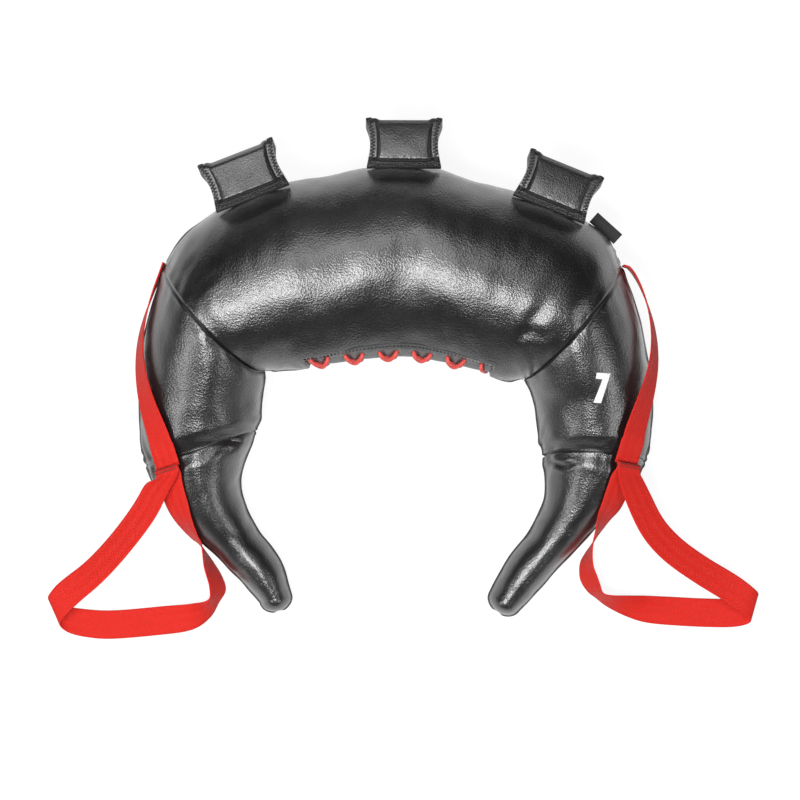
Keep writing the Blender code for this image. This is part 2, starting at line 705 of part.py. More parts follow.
def band(name, middles, widths, finish):
    """Flat webbing along a route: each row lies across it, in the direction of its width."""
    rows = []
    for middle, width in zip(middles, widths):
        half = width.normalized() * (WEBBING_WIDTH / 2.0)
        rows.append([middle - half, middle, middle + half])
    return sheet(name, rows, WEBBING_THICKNESS, 0.0, finish)


def bar_frame(neck):
    """Middle of the stitched bar on the neck's seam, its width direction (inner to outer) and the leather's normal."""
    u = neck + BAR_DROP_SHARE * (1.0 if neck == RIGHT_NECK else -1.0)
    width = (skin(neck, BAR_ANGLE - 0.1) - skin(neck, BAR_ANGLE + 0.1)).normalized()
    return skin(u, BAR_ANGLE), width, outward(neck, BAR_ANGLE)


def make_side_strap(hand, seam, neck):
    """Webbing from the body seam down the arm's outer side to the neck bar, sewn at both ends, slack between."""
    middles, widths = [], []
    bar, width, normal = bar_frame(neck)
    for share in even(0.0, 0.9, 12):
        u = blend(seam, neck, share)
        phi = BAR_ANGLE * ease(share)
        lift = blend(STRAP_SEAM_LIFT, STRAP_LIFT, share) + STRAP_SLACK * sin(pi * share)
        middles.append(over_skin(u, phi, lift))
        widths.append(skin(u, phi - 0.1) - skin(u, phi + 0.1))
    middles.append(bar + normal * STRAP_LIFT)
    widths.append(width)
    toward = (middles[-1] - middles[-2]).normalized()
    middles.append(middles[-1] + toward * STRAP_OVERLAP)
    widths.append(width)
    band(hand + "_side_strap", middles, widths, WEBBING_FINISH)


def lie_on_bag(hand, neck, middles, widths):
    """Pushes the rows of a band out of the horn and the arm, and off the floor, by the clearance that it needs."""
    horn = (LEFT_TIP - 1, LEFT_NECK) if hand == "left" else (RIGHT_NECK, RIGHT_TIP + 1)
    onward = 1.0 if hand == "left" else -1.0
    places = even(horn[0], horn[1], 24) if hand == "left" else even(horn[1], horn[0], 24)
    places += [neck + onward * share for share in (0.2, 0.4, 0.6)]
    points = []
    for u in places:
        segment = horn if (u - neck) * onward <= 0.0 else (neck, neck)
        points += [leather_point(u, phi, 0.0, segment) for phi in even(0.0, 2.0 * pi, 24)]
    tree = BVHTree.FromPolygons(points, grid_faces(len(places), 25))
    inside = section(neck)[0] + Vector((0.0, 0.0, section(neck)[4] / 2.0))
    near = tree.find_nearest(inside)
    turned = 1.0 if (inside - near[0]).dot(near[1]) < 0.0 else -1.0
    laid = []
    for middle, width in zip(middles, widths):
        middle = middle.copy()
        for _ in range(LAY_TURNS):
            push, most = Vector(), 0.0
            for share in (-0.5, -0.25, 0.0, 0.25, 0.5):
                point = middle + width.normalized() * (WEBBING_WIDTH * share)
                place, normal, _, _ = tree.find_nearest(point)
                short = LOOP_CLEARANCE - (point - place).dot(normal) * turned
                if short > most:
                    push, most = normal * (turned * short), short
            middle += push
            drop = abs(width.normalized().z) * WEBBING_WIDTH / 2.0
            middle.z = max(middle.z, WEBBING_REST + WEBBING_THICKNESS / 2.0 + drop)
        laid.append(middle)
    return laid


def make_hand_loop(hand, neck, shares):
    """One band: both ends lie on each other at the bar, and the loop rests on the floor beside the horn."""
    bar, width, normal = bar_frame(neck)
    layer = WEBBING_THICKNESS + LAYER_CLEARANCE
    down_horn = section(neck)[2].normalized() * (-1.0 if hand == "left" else 1.0)
    low = bar + normal * (STRAP_LIFT + layer) + down_horn * LOOP_SET_BACK
    high = low + normal * layer
    lead = down_horn * LOOP_LEAD
    rest = WEBBING_REST + WEBBING_THICKNESS / 2.0
    middles = [low, low + lead]
    widths = [width, width]
    for x, y, z, heading, tilt in shares:
        heading, tilt = radians(heading), radians(tilt)
        middles.append(Vector((bar.x + x * LOOP_DROP, bar.y + y * LOOP_DROP, rest + z * (bar.z - rest))))
        widths.append(Vector((cos(heading) * cos(tilt), sin(heading) * cos(tilt), sin(tilt))))
    middles += [high + lead, high]
    widths += [-width, -width]
    middles, widths = smooth_route(middles, 2), smooth_route(widths, 2)
    ends = middles[:2], middles[-2:]
    middles = ends[0] + lie_on_bag(hand, neck, middles[2:-2], widths[2:-2]) + ends[1]
    band(hand + "_hand_loop", middles, widths, WEBBING_FINISH)


def edge_frame(u):
    """Point on the outer seam, direction along the edge and direction away from the bag, both level."""
    point = skin(u, 0.0)
    edge = skin(u + 0.05, 0.0) - skin(u - 0.05, 0.0)
    edge = Vector((edge.x, edge.y, 0.0)).normalized()
    away = Vector((-edge.y, edge.x, 0.0))
    return Matrix((
        (edge.x, away.x, 0.0, point.x),
        (edge.y, away.y, 0.0, point.y),
        (0.0, 0.0, 1.0, point.z),
        (0.0, 0.0, 0.0, 1.0),
    ))


def seat_frame(u, seat):
    """Where a handle is sewn on the front panel, seat up from the outer seam: the direction along the edge, the
    direction away from the bag and up by the handle's rise, and the one square to both."""
    point = skin(u, seat)
    edge = skin(u + EDGE_STEP_SHARE, seat) - skin(u - EDGE_STEP_SHARE, seat)
    edge = Vector((edge.x, edge.y, 0.0)).normalized()
    away = Vector((-edge.y * cos(HANDLE_RISE), edge.x * cos(HANDLE_RISE), sin(HANDLE_RISE)))
    up = edge.cross(away)
    columns = (edge, away, up, point)
    rows = [[column[axis] for column in columns] for axis in range(3)]
    return Matrix(rows + [[0.0, 0.0, 0.0, 1.0]])


def handle_tail():
    """Half thickness of the sewn tail, and its pivot's distance from the tail's end."""
    half = HANDLE_LEATHER + HANDLE_LINING + 1.5 * HANDLE_PLY_GAP
    return half, half * 1.05


def handle_point(turn, depth, tail, start, place):
    """A point of the teardrop section: turn runs from 0 at the upper tail over half a turn at the fold to a full
    turn at the lower tail, depth is measured in from the outer face, and place is along the handle's width."""
    out = (1.0 - cos(turn)) / 2.0
    side = 1.0 if turn <= pi else -1.0
    folded = turn if turn <= pi else 2.0 * pi - turn
    rise = tail * (1.0 - out) ** 2 + (HANDLE_HALF_HEIGHT - depth) * sin(folded) * sin(folded / 2.0) ** 0.8
    reach = blend(start, HANDLE_LENGTH - depth, out)
    waist = 1.0 - 2.0 * HANDLE_WAIST / HANDLE_WIDTH * sin(pi * out)
    return Vector((place * waist, reach, side * rise))


def flange_share(place):
    """0 over the pad, 1 on the stitched flanges at both sides."""
    ramp = HANDLE_WIDTH / 2.0 - HANDLE_FLANGE - HANDLE_BEVEL
    return min(max((abs(place) - ramp) / HANDLE_BEVEL, 0.0), 1.0)


def handle_layer(name, frame, turns, places, depths, tails, start, sinks, finish, tongue=False):
    """One ply between two teardrops. sinks say how far its faces drop on the flanges, where no foam lies under it.
    A tongue runs on past the ply's start into the seam."""
    faces = []
    for depth, tail, sink in zip(depths, tails, sinks):
        rows = []
        for turn in turns:
            rows.append([handle_point(turn, depth + sink * flange_share(place), tail, start, place) for place in places])
        if tongue:
            rows.insert(0, [Vector((point.x, 0.0, point.z)) for point in rows[0]])
            rows.append([Vector((point.x, 0.0, point.z)) for point in rows[-1]])
        faces.append([[frame @ point for point in row] for row in rows])
    return slab(name, faces[0], faces[1], finish)


def make_handle(name, u, seat):
    """Padded loop for one hand: an outer strip and a lining sewn together along the flanges, with foam between."""
    half, pivot = handle_tail()
    frame = seat_frame(u, seat) @ Matrix.Translation((0.0, HANDLE_WALL_GAP, 0.0))
    gap = HANDLE_PLY_GAP
    inner_tail = gap / 2.0 + HANDLE_LINING
    reach = sqrt(pivot**2 + inner_tail**2)
    start = pivot - sqrt(max(reach**2 - half**2, 0.0))
    edge = HANDLE_WIDTH / 2.0
    ramp = edge - HANDLE_FLANGE - HANDLE_BEVEL
    places = [-edge, -edge + HANDLE_FLANGE, -ramp, 0.0, ramp, edge - HANDLE_FLANGE, edge]
    turns = spread(0.0, pi, 6) + spread(pi, 2.0 * pi, 6)[1:]
    foam_top = HANDLE_LEATHER + 1.5 * gap
    foam_base = foam_top + HANDLE_FOAM
    lining_top = foam_base + gap
    drop = HANDLE_FOAM + gap
    handle_layer(
        name + "_outer_strip", frame, turns, places, (0.0, HANDLE_LEATHER), (half, half - HANDLE_LEATHER),
        start, (drop, drop), LEATHER_FINISH,
    )
    foam_tail = half - HANDLE_LEATHER - gap / 2.0
    handle_layer(
        name + "_foam_pad", frame, turns[2:-2], [-ramp, 0.0, ramp],
        (foam_top, foam_base), (foam_tail, foam_tail), start, (drop, 0.0), FOAM_FINISH,
    )
    handle_layer(
        name + "_lining", frame, turns, [-edge, 0.0, edge], (lining_top, lining_top + HANDLE_LINING),
        (inner_tail, gap / 2.0), start, (0.0, 0.0), LEATHER_FINISH, tongue=True,
    )
    return frame @ Vector((0.0, pivot, 0.0))


def make_label():
    """Folded woven tab in the outer seam beside the right handle. It is bare."""
    frame = edge_frame(LABEL_SHARE) @ Matrix.Translation((0.0, LABEL_WALL_GAP, 0.0))
    rise = LABEL_FOLD / 2.0
    profile = [(0.0, rise), (LABEL_LENGTH - rise, rise), (LABEL_LENGTH, 0.0), (LABEL_LENGTH - rise, -rise), (0.0, -rise)]
    rows = [[frame @ Vector((x, y, z)) for x in (-LABEL_WIDTH / 2.0, LABEL_WIDTH / 2.0)] for y, z in profile]
    sheet("woven_label", rows, LABEL_PLY, 0.0, LABEL_FINISH)
    return frame.translation.copy()


def pivot(name, place, carrier=None):
    """An empty on a joint's axis. The pieces that move with it are parented to it."""
    empty = bpy.data.objects.new(name, None)
    bpy.data.collections["bulgarian_bag"].objects.link(empty)
    if carrier:
        empty.parent = carrier
        place = place - carrier.matrix_world.translation
    empty.location = place
    bpy.context.view_layer.update()
    return empty


def carry(empty, names):
    """Puts a piece's origin on the joint's axis and hangs it on the pivot."""
    place = empty.matrix_world.translation.copy()
    for name in names:
        piece = bpy.data.objects[name]
        piece.data.transform(Matrix.Translation(-place))
        piece.parent = empty


for old in list(bpy.data.objects):
    bpy.data.objects.remove(old)
for folder in ("bulgarian_bag", "cutters"):
    bpy.context.scene.collection.children.link(bpy.data.collections.new(folder))
MOUTH_TABLE = mouth_places()

make_body()
make_arm("left", (LEFT_NECK, LEFT_SEAM))
make_arm("right", (RIGHT_SEAM, RIGHT_NECK))
make_horn("left", (LEFT_TIP - 1, LEFT_NECK), LEFT_NECK, LEFT_TIP)
make_horn("right", (RIGHT_NECK, RIGHT_TIP + 1), RIGHT_NECK, RIGHT_TIP)
make_mouth()
make_side_strap("left", LEFT_SEAM, LEFT_NECK)
make_side_strap("right", RIGHT_SEAM, RIGHT_NECK)
make_hand_loop("left", LEFT_NECK, left_loop_shares)
make_hand_loop("right", RIGHT_NECK, right_loop_shares)

for hand, neck in (("left", LEFT_NECK), ("right", RIGHT_NECK)):
    horn = pivot(hand + "_horn_pivot", section(neck)[0])
    carry(horn, [hand + "_horn_front_cover", hand + "_horn_back_cover", hand + "_horn_wadding"])
    bar, width, normal = bar_frame(neck)
    hang = bar + normal * (STRAP_LIFT + 1.5 * (WEBBING_THICKNESS + LAYER_CLEARANCE))
    carry(pivot(hand + "_loop_pivot", hang, horn), [hand + "_hand_loop"])
    print(hand, "bar", [round(value, 5) for value in hang], "axis", [round(value, 4) for value in width])
    print(hand, "neck", [round(value, 5) for value in section(neck)[0]])
handles = (
    ("left", LEFT_HANDLE_SHARE, LEFT_SEAT),
    ("centre", CENTRE_HANDLE_SHARE, CENTRE_SEAT),
    ("right", RIGHT_HANDLE_SHARE, RIGHT_SEAT),
)
for hand, u, seat in handles:
    place = make_handle(hand + "_handle", u, seat)
    names = [hand + "_handle" + piece for piece in ("_outer_strip", "_foam_pad", "_lining")]
    carry(pivot(hand + "_handle_pivot", place), names)
    edge = seat_frame(u, seat).col[0]
    print(hand, "handle", [round(value, 5) for value in place], "axis", [round(value, 4) for value in edge[:3]])
place = make_label()
carry(pivot("label_pivot", place), ["woven_label"])
print("label", [round(value, 5) for value in place], [round(value, 4) for value in edge_frame(LABEL_SHARE).col[0][:3]])
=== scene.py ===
"""The bulgarian bag as it lies on a pale floor, seen from straight above."""
from math import cos, log, pi, radians, sin, sqrt

import bmesh
import bpy
import numpy
from mathutils import Matrix, Vector, noise
from mathutils.bvhtree import BVHTree


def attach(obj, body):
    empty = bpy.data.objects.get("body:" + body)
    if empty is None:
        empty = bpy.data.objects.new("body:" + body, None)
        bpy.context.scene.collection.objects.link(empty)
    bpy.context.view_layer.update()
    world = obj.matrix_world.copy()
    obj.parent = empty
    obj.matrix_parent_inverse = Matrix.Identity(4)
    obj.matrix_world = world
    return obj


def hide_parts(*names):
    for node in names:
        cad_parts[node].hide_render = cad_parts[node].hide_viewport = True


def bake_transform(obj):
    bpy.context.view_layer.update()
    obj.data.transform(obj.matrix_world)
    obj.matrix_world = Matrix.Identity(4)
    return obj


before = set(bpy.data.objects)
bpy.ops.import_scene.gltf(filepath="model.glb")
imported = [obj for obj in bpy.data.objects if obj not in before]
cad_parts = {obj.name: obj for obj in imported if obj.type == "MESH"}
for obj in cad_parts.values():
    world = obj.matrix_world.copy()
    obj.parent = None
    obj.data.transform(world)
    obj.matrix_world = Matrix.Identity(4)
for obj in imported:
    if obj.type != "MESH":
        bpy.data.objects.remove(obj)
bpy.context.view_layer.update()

# The camera stands 3 m above the middle of the picture and looks straight down. Its view is 0.84 m wide on the
# floor, which is 1.05 mm for each pixel of an 800 pixel picture.
VIEW_MIDDLE = (-0.0033, -0.0198)
VIEW_HEIGHT = 3.0
VIEW_WIDTH = 0.84
FILM_WIDTH = 36.0


def new_object(name, data):
    """An object that stands in the scene at the origin."""
    made = bpy.data.objects.new(name, data)
    bpy.context.scene.collection.objects.link(made)
    return made


bpy.ops.object.select_all(action="DESELECT")
lens = bpy.data.cameras.new("camera")
lens.sensor_width = FILM_WIDTH
lens.lens = FILM_WIDTH * VIEW_HEIGHT / VIEW_WIDTH
lens.clip_end = 30.0
camera = new_object("camera", lens)
camera.location = (*VIEW_MIDDLE, VIEW_HEIGHT)
bpy.context.scene.camera = camera
bpy.context.scene.view_settings.view_transform = "Standard"

# The studio: a white floor that runs past every view, and six soft boxes. The key light is in front of the
# bag, two are at its sides, two behind it and a weak one low in front. A little light comes from all round.
FLOOR_SIZE = 14.0
FLOOR_DROP = 0.0006
FLOOR_GREY = 0.16
FLOOR_LIGHT = 0.90
ROOM_LIGHT = 0.012
WHITE = (1.0, 1.0, 1.0, 1.0)


class Finish:
    """A material with a short way to set its shader and to add the nodes that this scene uses."""

    def __init__(self, name, **values):
        self.material = bpy.data.materials.new(name)
        self.material.use_nodes = True
        self.tree = self.material.node_tree
        self.join = self.tree.links.new
        self.shader = self.tree.nodes["Principled BSDF"].inputs
        for socket, value in values.items():
            self.shader[socket.replace("_", " ")].default_value = value

    def add(self, kind, source=None, **values):
        """A node with its values set, and its first socket joined to a source."""
        node = self.tree.nodes.new("ShaderNode" + kind)
        for name, value in values.items():
            socket = node.inputs.get(name.replace("_", " "))
            if socket is None:
                setattr(node, name, value)
            else:
                socket.default_value = value
        if source is not None:
            self.join(source, node.inputs[0])
        return node

    def maths(self, operation, source, second=None, third=None):
        """Arithmetic on a source. The other terms are numbers or sources."""
        node = self.add("Math", source, operation=operation)
        for socket, term in ((1, second), (2, third)):
            if isinstance(term, bpy.types.NodeSocket):
                self.join(term, node.inputs[socket])
            elif term is not None:
                node.inputs[socket].default_value = term
        return node.outputs[0]

    def noise(self, scale, detail, place=None, **values):
        """Cloudy unevenness, at the places of the piece itself where no others are given."""
        place = place or self.add("TexCoord").outputs["Object"]
        return self.add("TexNoise", place, Scale=scale, Detail=detail, **values).outputs["Fac"]

    def bump(self, height, strength, distance, under=None):
        """Relief on the shader, on top of an earlier one where there is one."""
        node = self.add("Bump", Strength=strength, Distance=distance)
        self.join(height, node.inputs["Height"])
        if under:
            self.join(under, node.inputs["Normal"])
        self.join(node.outputs[0], self.shader["Normal"])
        return node.outputs[0]

    def colours(self, source, low, high, start=0.0, end=1.0):
        """The shader's colour, from low to high along a source."""
        node = self.add("ValToRGB", source)
        for element, colour, position in zip(node.color_ramp.elements, (low, high), (start, end)):
            element.color = (*colour, 1.0)
            element.position = position
        self.join(node.outputs[0], self.shader["Base Color"])


def white_when_seen(finish, strength):
    """Light of its own that only the camera and mirrored or passing rays see. So the floor is white, shows as
    white in what mirrors it, and keeps its shadow."""
    path = finish.add("LightPath").outputs
    seen = path["Is Camera Ray"]
    for ray in ("Is Glossy Ray", "Is Transmission Ray"):
        seen = finish.maths("MAXIMUM", seen, path[ray])
    finish.join(finish.maths("MULTIPLY", seen, strength), finish.shader["Emission Strength"])


bpy.ops.mesh.primitive_plane_add(size=FLOOR_SIZE, location=(0.0, 0.0, -FLOOR_DROP))
floor = bpy.context.object
floor.name = "floor"
floor_grey = (FLOOR_GREY, FLOOR_GREY, FLOOR_GREY, 1.0)
finish = Finish("white_floor", Base_Color=floor_grey, Roughness=0.9, Specular_IOR_Level=0.1)
finish.shader["Emission Color"].default_value = WHITE
white_when_seen(finish, FLOOR_LIGHT)
floor.data.materials.append(finish.material)

world = bpy.data.worlds.new("studio")
world.use_nodes = True
bpy.context.scene.world = world
backdrop = world.node_tree.nodes["Background"]
backdrop.inputs["Color"].default_value = WHITE
backdrop.inputs["Strength"].default_value = ROOM_LIGHT


def soft_box(name, place, height, size, power):
    """A rectangular lamp that looks at the middle of the bag, at a height over the floor."""
    lamp = bpy.data.lights.new(name, "AREA")
    lamp.shape = "RECTANGLE"
    lamp.size, lamp.size_y = size
    lamp.energy = power
    box = new_object(name, lamp)
    box.location = place
    box.rotation_euler = (Vector((0.0, 0.0, height)) - Vector(place)).to_track_quat("-Z", "Y").to_euler()


soft_box("key_light", (-0.45, -0.64, 2.55), height=0.05, size=(1.5, 0.68), power=56.0)
soft_box("left_light", (-2.5, -1.10, 2.0), height=0.05, size=(1.5, 0.9), power=30.0)
soft_box("right_light", (2.5, -1.30, 2.0), height=0.05, size=(1.5, 0.9), power=25.0)
soft_box("fade_light", (-0.20, 0.95, 2.5), height=0.05, size=(1.6, 1.1), power=18.0)
soft_box("far_light", (-0.10, 2.30, 1.6), height=0.05, size=(1.6, 0.9), power=2.0)
soft_box("low_light", (-0.30, -1.70, 0.45), height=0.03, size=(2.0, 0.5), power=0.6)

# The leather bag: black cowhide panels sewn into a crescent, stuffed hard with wool round a sleeve of sand.
# Its shape follows stations along the crescent, as the solids do. The leather swells between its seams and
# puckers where the seams hold it.
HALF_SPAN = 0.265
REACH = 0.235
MIDDLE_X = 0.0014
MIDDLE_Y = 0.0022
BODY_THICKNESS = 0.138
OUTER_SEAM_HEIGHT = 0.058
INNER_SEAM_RISE = 0.014
MERGE_DISTANCE = 0.00001
TIP_CAP = 0.013
SEAM_BOW = 0.014
BODY_TUCK = 0.0012
NECK_TUCK = 0.006
EDGE_TUCK = 0.5
TUCK_REACH = 0.018
LEFT_TIP, LEFT_NECK, LEFT_SEAM = 0, 5, 8
RIGHT_SEAM, RIGHT_NECK, RIGHT_TIP = 16, 19, 24
MOUTH_START, MOUTH_END = 9.38, 14.40
# Each station gives x and y of the inner edge, x and y of the outer edge, the thickness and how far the front
# bows along the crescent, as shares of the sizes above.
stations = [
    (-0.447, -0.960, -0.565, -0.991, 0.290, 0.00),
    (-0.494, -0.804, -0.636, -0.901, 0.340, 0.00),
    (-0.584, -0.661, -0.745, -0.777, 0.377, 0.00),
    (-0.642, -0.501, -0.850, -0.665, 0.464, 0.00),
    (-0.633, -0.377, -0.935, -0.536, 0.543, 0.00),
    (-0.570, -0.226, -1.022, -0.385, 0.630, 0.00),
    (-0.557, -0.085, -1.035, -0.116, 0.745, 0.00),
    (-0.548, -0.005, -1.012, 0.190, 0.840, -0.50),
    (-0.551, 0.038, -0.932, 0.508, 0.915, -1.00),
    (-0.440, 0.043, -0.830, 0.650, 0.965, -0.50),
    (-0.300, 0.053, -0.600, 0.815, 1.000, 0.00),
    (-0.150, 0.084, -0.280, 0.896, 1.000, 0.00),
    (0.009, 0.097, 0.029, 0.936, 1.000, 0.00),
    (0.165, 0.064, 0.277, 0.862, 1.000, 0.00),
    (0.300, 0.019, 0.540, 0.780, 0.990, 0.00),
    (0.402, -0.004, 0.760, 0.648, 0.960, 0.30),
    (0.465, -0.001, 0.846, 0.495, 0.915, 0.65),
    (0.495, -0.065, 0.925, 0.200, 0.840, 0.30),
    (0.519, -0.155, 0.963, -0.072, 0.745, -0.30),
    (0.538, -0.341, 0.957, -0.372, 0.630, -0.70),
    (0.554, -0.425, 0.868, -0.520, 0.530, -0.30),
    (0.552, -0.537, 0.772, -0.630, 0.450, 0.00),
    (0.494, -0.679, 0.659, -0.772, 0.377, 0.00),
    (0.407, -0.804, 0.557, -0.897, 0.340, 0.00),
    (0.343, -0.947, 0.447, -1.027, 0.290, 0.00),
]
UNDERSIDE_FULLNESS = 1.14
PLAIN_EDGE = 1.25
MOUTH_EDGE = 0.35
MOUTH_LEAD = 0.6
MOUTH_FADE = 0.8
SEAMS = ((LEFT_NECK, NECK_TUCK), (LEFT_SEAM, BODY_TUCK), (RIGHT_SEAM, BODY_TUCK), (RIGHT_NECK, NECK_TUCK))
known_sections = {}


def blend(start, end, share):
    return start + (end - start) * share


def ease(value):
    """0 below 0 and 1 above 1, smooth between."""
    value = numpy.clip(value, 0.0, 1.0)
    return value * value * (3.0 - 2.0 * value)


def even(start, end, count):
    return [blend(start, end, step / count) for step in range(count + 1)]


def through(points, index, share):
    """The smooth curve through a list of points, between points[index] and the next one."""
    last = len(points) - 1
    before, start, end, after = [points[min(max(index + step, 0), last)] for step in (-1, 0, 1, 2)]
    if index == 0:
        before = start * 2.0 - end
    if index + 1 == last:
        after = end * 2.0 - start
    square = before * 2.0 - start * 5.0 + end * 4.0 - after
    cube = (start - end) * 3.0 + after - before
    return start + ((end - before) * share + square * share**2 + cube * share**3) * 0.5


def smooth_route(points, steps):
    route = [through(points, index, step / steps) for index in range(len(points) - 1) for step in range(steps)]
    return route + [points[-1]]


def section(u):
    """Centre, direction across (inner to outer), direction along, half width, height, bow and end-cap size."""
    if u in known_sections:
        return known_sections[u]
    ends = [LEFT_TIP, LEFT_NECK, LEFT_SEAM, RIGHT_SEAM, RIGHT_NECK, RIGHT_TIP]
    inside = min(max(u, LEFT_TIP), RIGHT_TIP)
    low, high = next((a, b) for a, b in zip(ends, ends[1:]) if inside <= b)
    index = min(int(inside), high - 1)
    rows = [numpy.array(row) for row in stations[low : high + 1]]
    inner_x, inner_y, outer_x, outer_y, height, bow = through(rows, index - low, inside - index)
    inner = Vector((inner_x * HALF_SPAN + MIDDLE_X, inner_y * REACH + MIDDLE_Y, 0.0))
    outer = Vector((outer_x * HALF_SPAN + MIDDLE_X, outer_y * REACH + MIDDLE_Y, 0.0))
    across = (outer - inner).normalized()
    along = Vector((across.y, -across.x, 0.0))
    past = max(LEFT_TIP - u, u - RIGHT_TIP, 0.0) * pi / 2.0
    centre = (inner + outer) / 2.0 + along * (TIP_CAP * sin(past) * (1.0 if u > LEFT_SEAM else -1.0))
    half = (outer - inner).length / 2.0
    known_sections[u] = (centre, across, along, half, height * BODY_THICKNESS, bow * SEAM_BOW, cos(past))
    return known_sections[u]


def tuck(u):
    """How deep the seams pull the leather in at u."""
    total = 0.0
    for seam, depth in SEAMS:
        away = (section(u)[0] - section(seam)[0]).length
        total += depth * (1.0 - ease(away / TUCK_REACH))
    return total


def mouth_share(u):
    """1 along the laced mouth, 0 well away from it."""
    return ease((u - MOUTH_START + MOUTH_LEAD) / MOUTH_FADE) * ease((MOUTH_END + MOUTH_LEAD - u) / MOUTH_FADE)


def ring(u, angles):
    """One section of the leather's face: 0 on the outer seam, a quarter turn on top, half a turn inside."""
    centre, across, along, half, thickness, bow, cap = section(u)
    dip = tuck(u)
    angles = numpy.asarray(angles, float)
    inward = (1.0 - numpy.cos(angles)) / 2.0
    seam = (OUTER_SEAM_HEIGHT + INNER_SEAM_RISE * inward * mouth_share(u)) * thickness / BODY_THICKNESS
    rise = numpy.abs(numpy.sin(angles))
    swell = rise ** (PLAIN_EDGE + MOUTH_EDGE * mouth_share(u) * inward)
    depth = numpy.where(numpy.sin(angles) > 0.0, thickness - dip - seam, -UNDERSIDE_FULLNESS * seam)
    points = numpy.array(centre) + numpy.outer(bow * rise, along)
    points += numpy.outer((half - EDGE_TUCK * dip) * numpy.cos(angles) * cap, across)
    points[:, 2] = numpy.maximum(seam + depth * swell * cap, 0.0)
    return points


def skin(u, phi):
    return Vector(ring(u, [phi])[0])


def outward(u, phi):
    """Direction square to the leather."""
    step = 0.02
    around = skin(u, phi + step) - skin(u, phi - step)
    onward = skin(u + step, phi) - skin(u - step, phi)
    square = around.cross(onward)
    if square.length < around.length * onward.length * step or around.length == 0.0:
        return section(u)[2] * (1.0 if u > LEFT_SEAM else -1.0)
    return square.normalized()


def over_skin(u, phi, lift):
    point = skin(u, phi) + outward(u, phi) * lift
    point.z = max(point.z, -min(lift, 0.0))
    return point


def round_angles(count, crowding):
    """Angles round a section, drawn closer together at the two edge seams."""
    return [2.0 * pi * step / count - crowding * sin(4.0 * pi * step / count) / 2.0 for step in range(count)]


def square_to(points):
    """Outward normals of a grid of rows that close round."""
    around = numpy.roll(points, -1, axis=1) - numpy.roll(points, 1, axis=1)
    onward = numpy.gradient(points, axis=0)
    normals = numpy.cross(around, onward)
    size = numpy.linalg.norm(normals, axis=2, keepdims=True)
    return normals / numpy.maximum(size, 1e-12)


def tube_mesh(name, points, marks=None):
    """A closed skin from a grid of rings, with a fan at each open end. Marks are the weave's places."""
    rows, columns = points.shape[:2]
    vertices = [tuple(point) for point in points.reshape(-1, 3)]
    faces = []
    for row in range(rows - 1):
        for column in range(columns):
            beside = (column + 1) % columns
            low, high = row * columns, (row + 1) * columns
            faces.append((low + column, low + beside, high + beside, high + column))
    vertices += [tuple(points[0].mean(axis=0)), tuple(points[-1].mean(axis=0))]
    last = (rows - 1) * columns
    for column in range(columns):
        beside = (column + 1) % columns
        faces.append((beside, column, len(vertices) - 2))
        faces.append((last + column, last + beside, len(vertices) - 1))
    mesh = bpy.data.meshes.new(name)
    mesh.from_pydata(vertices, [], faces)
    if marks is not None:
        flat = numpy.vstack([marks.reshape(-1, 2), marks[0].mean(axis=0), marks[-1].mean(axis=0)])
        corners = numpy.zeros(len(mesh.loops), dtype=int)
        mesh.loops.foreach_get("vertex_index", corners)
        layer = mesh.uv_layers.new(name="weave")
        layer.data.foreach_set("uv", flat[corners].astype(numpy.float32).ravel())
    return new_object(name, mesh)


def clean(piece, sharp=60.0):
    """Merges what meets, turns every face outwards and shades the piece smooth between sharp edges."""
    shape = bmesh.new()
    shape.from_mesh(piece.data)
    bmesh.ops.remove_doubles(shape, verts=shape.verts, dist=MERGE_DISTANCE)
    bmesh.ops.dissolve_degenerate(shape, edges=shape.edges, dist=MERGE_DISTANCE / 10.0)
    bmesh.ops.recalc_face_normals(shape, faces=shape.faces)
    shape.to_mesh(piece.data)
    shape.free()
    piece.data.shade_smooth()
    piece.data.set_sharp_from_angle(angle=radians(sharp))
    return piece


EDGE_HOLD = 0.012
MOUTH_HOLD = 0.036
BLOWING_STEPS = 21


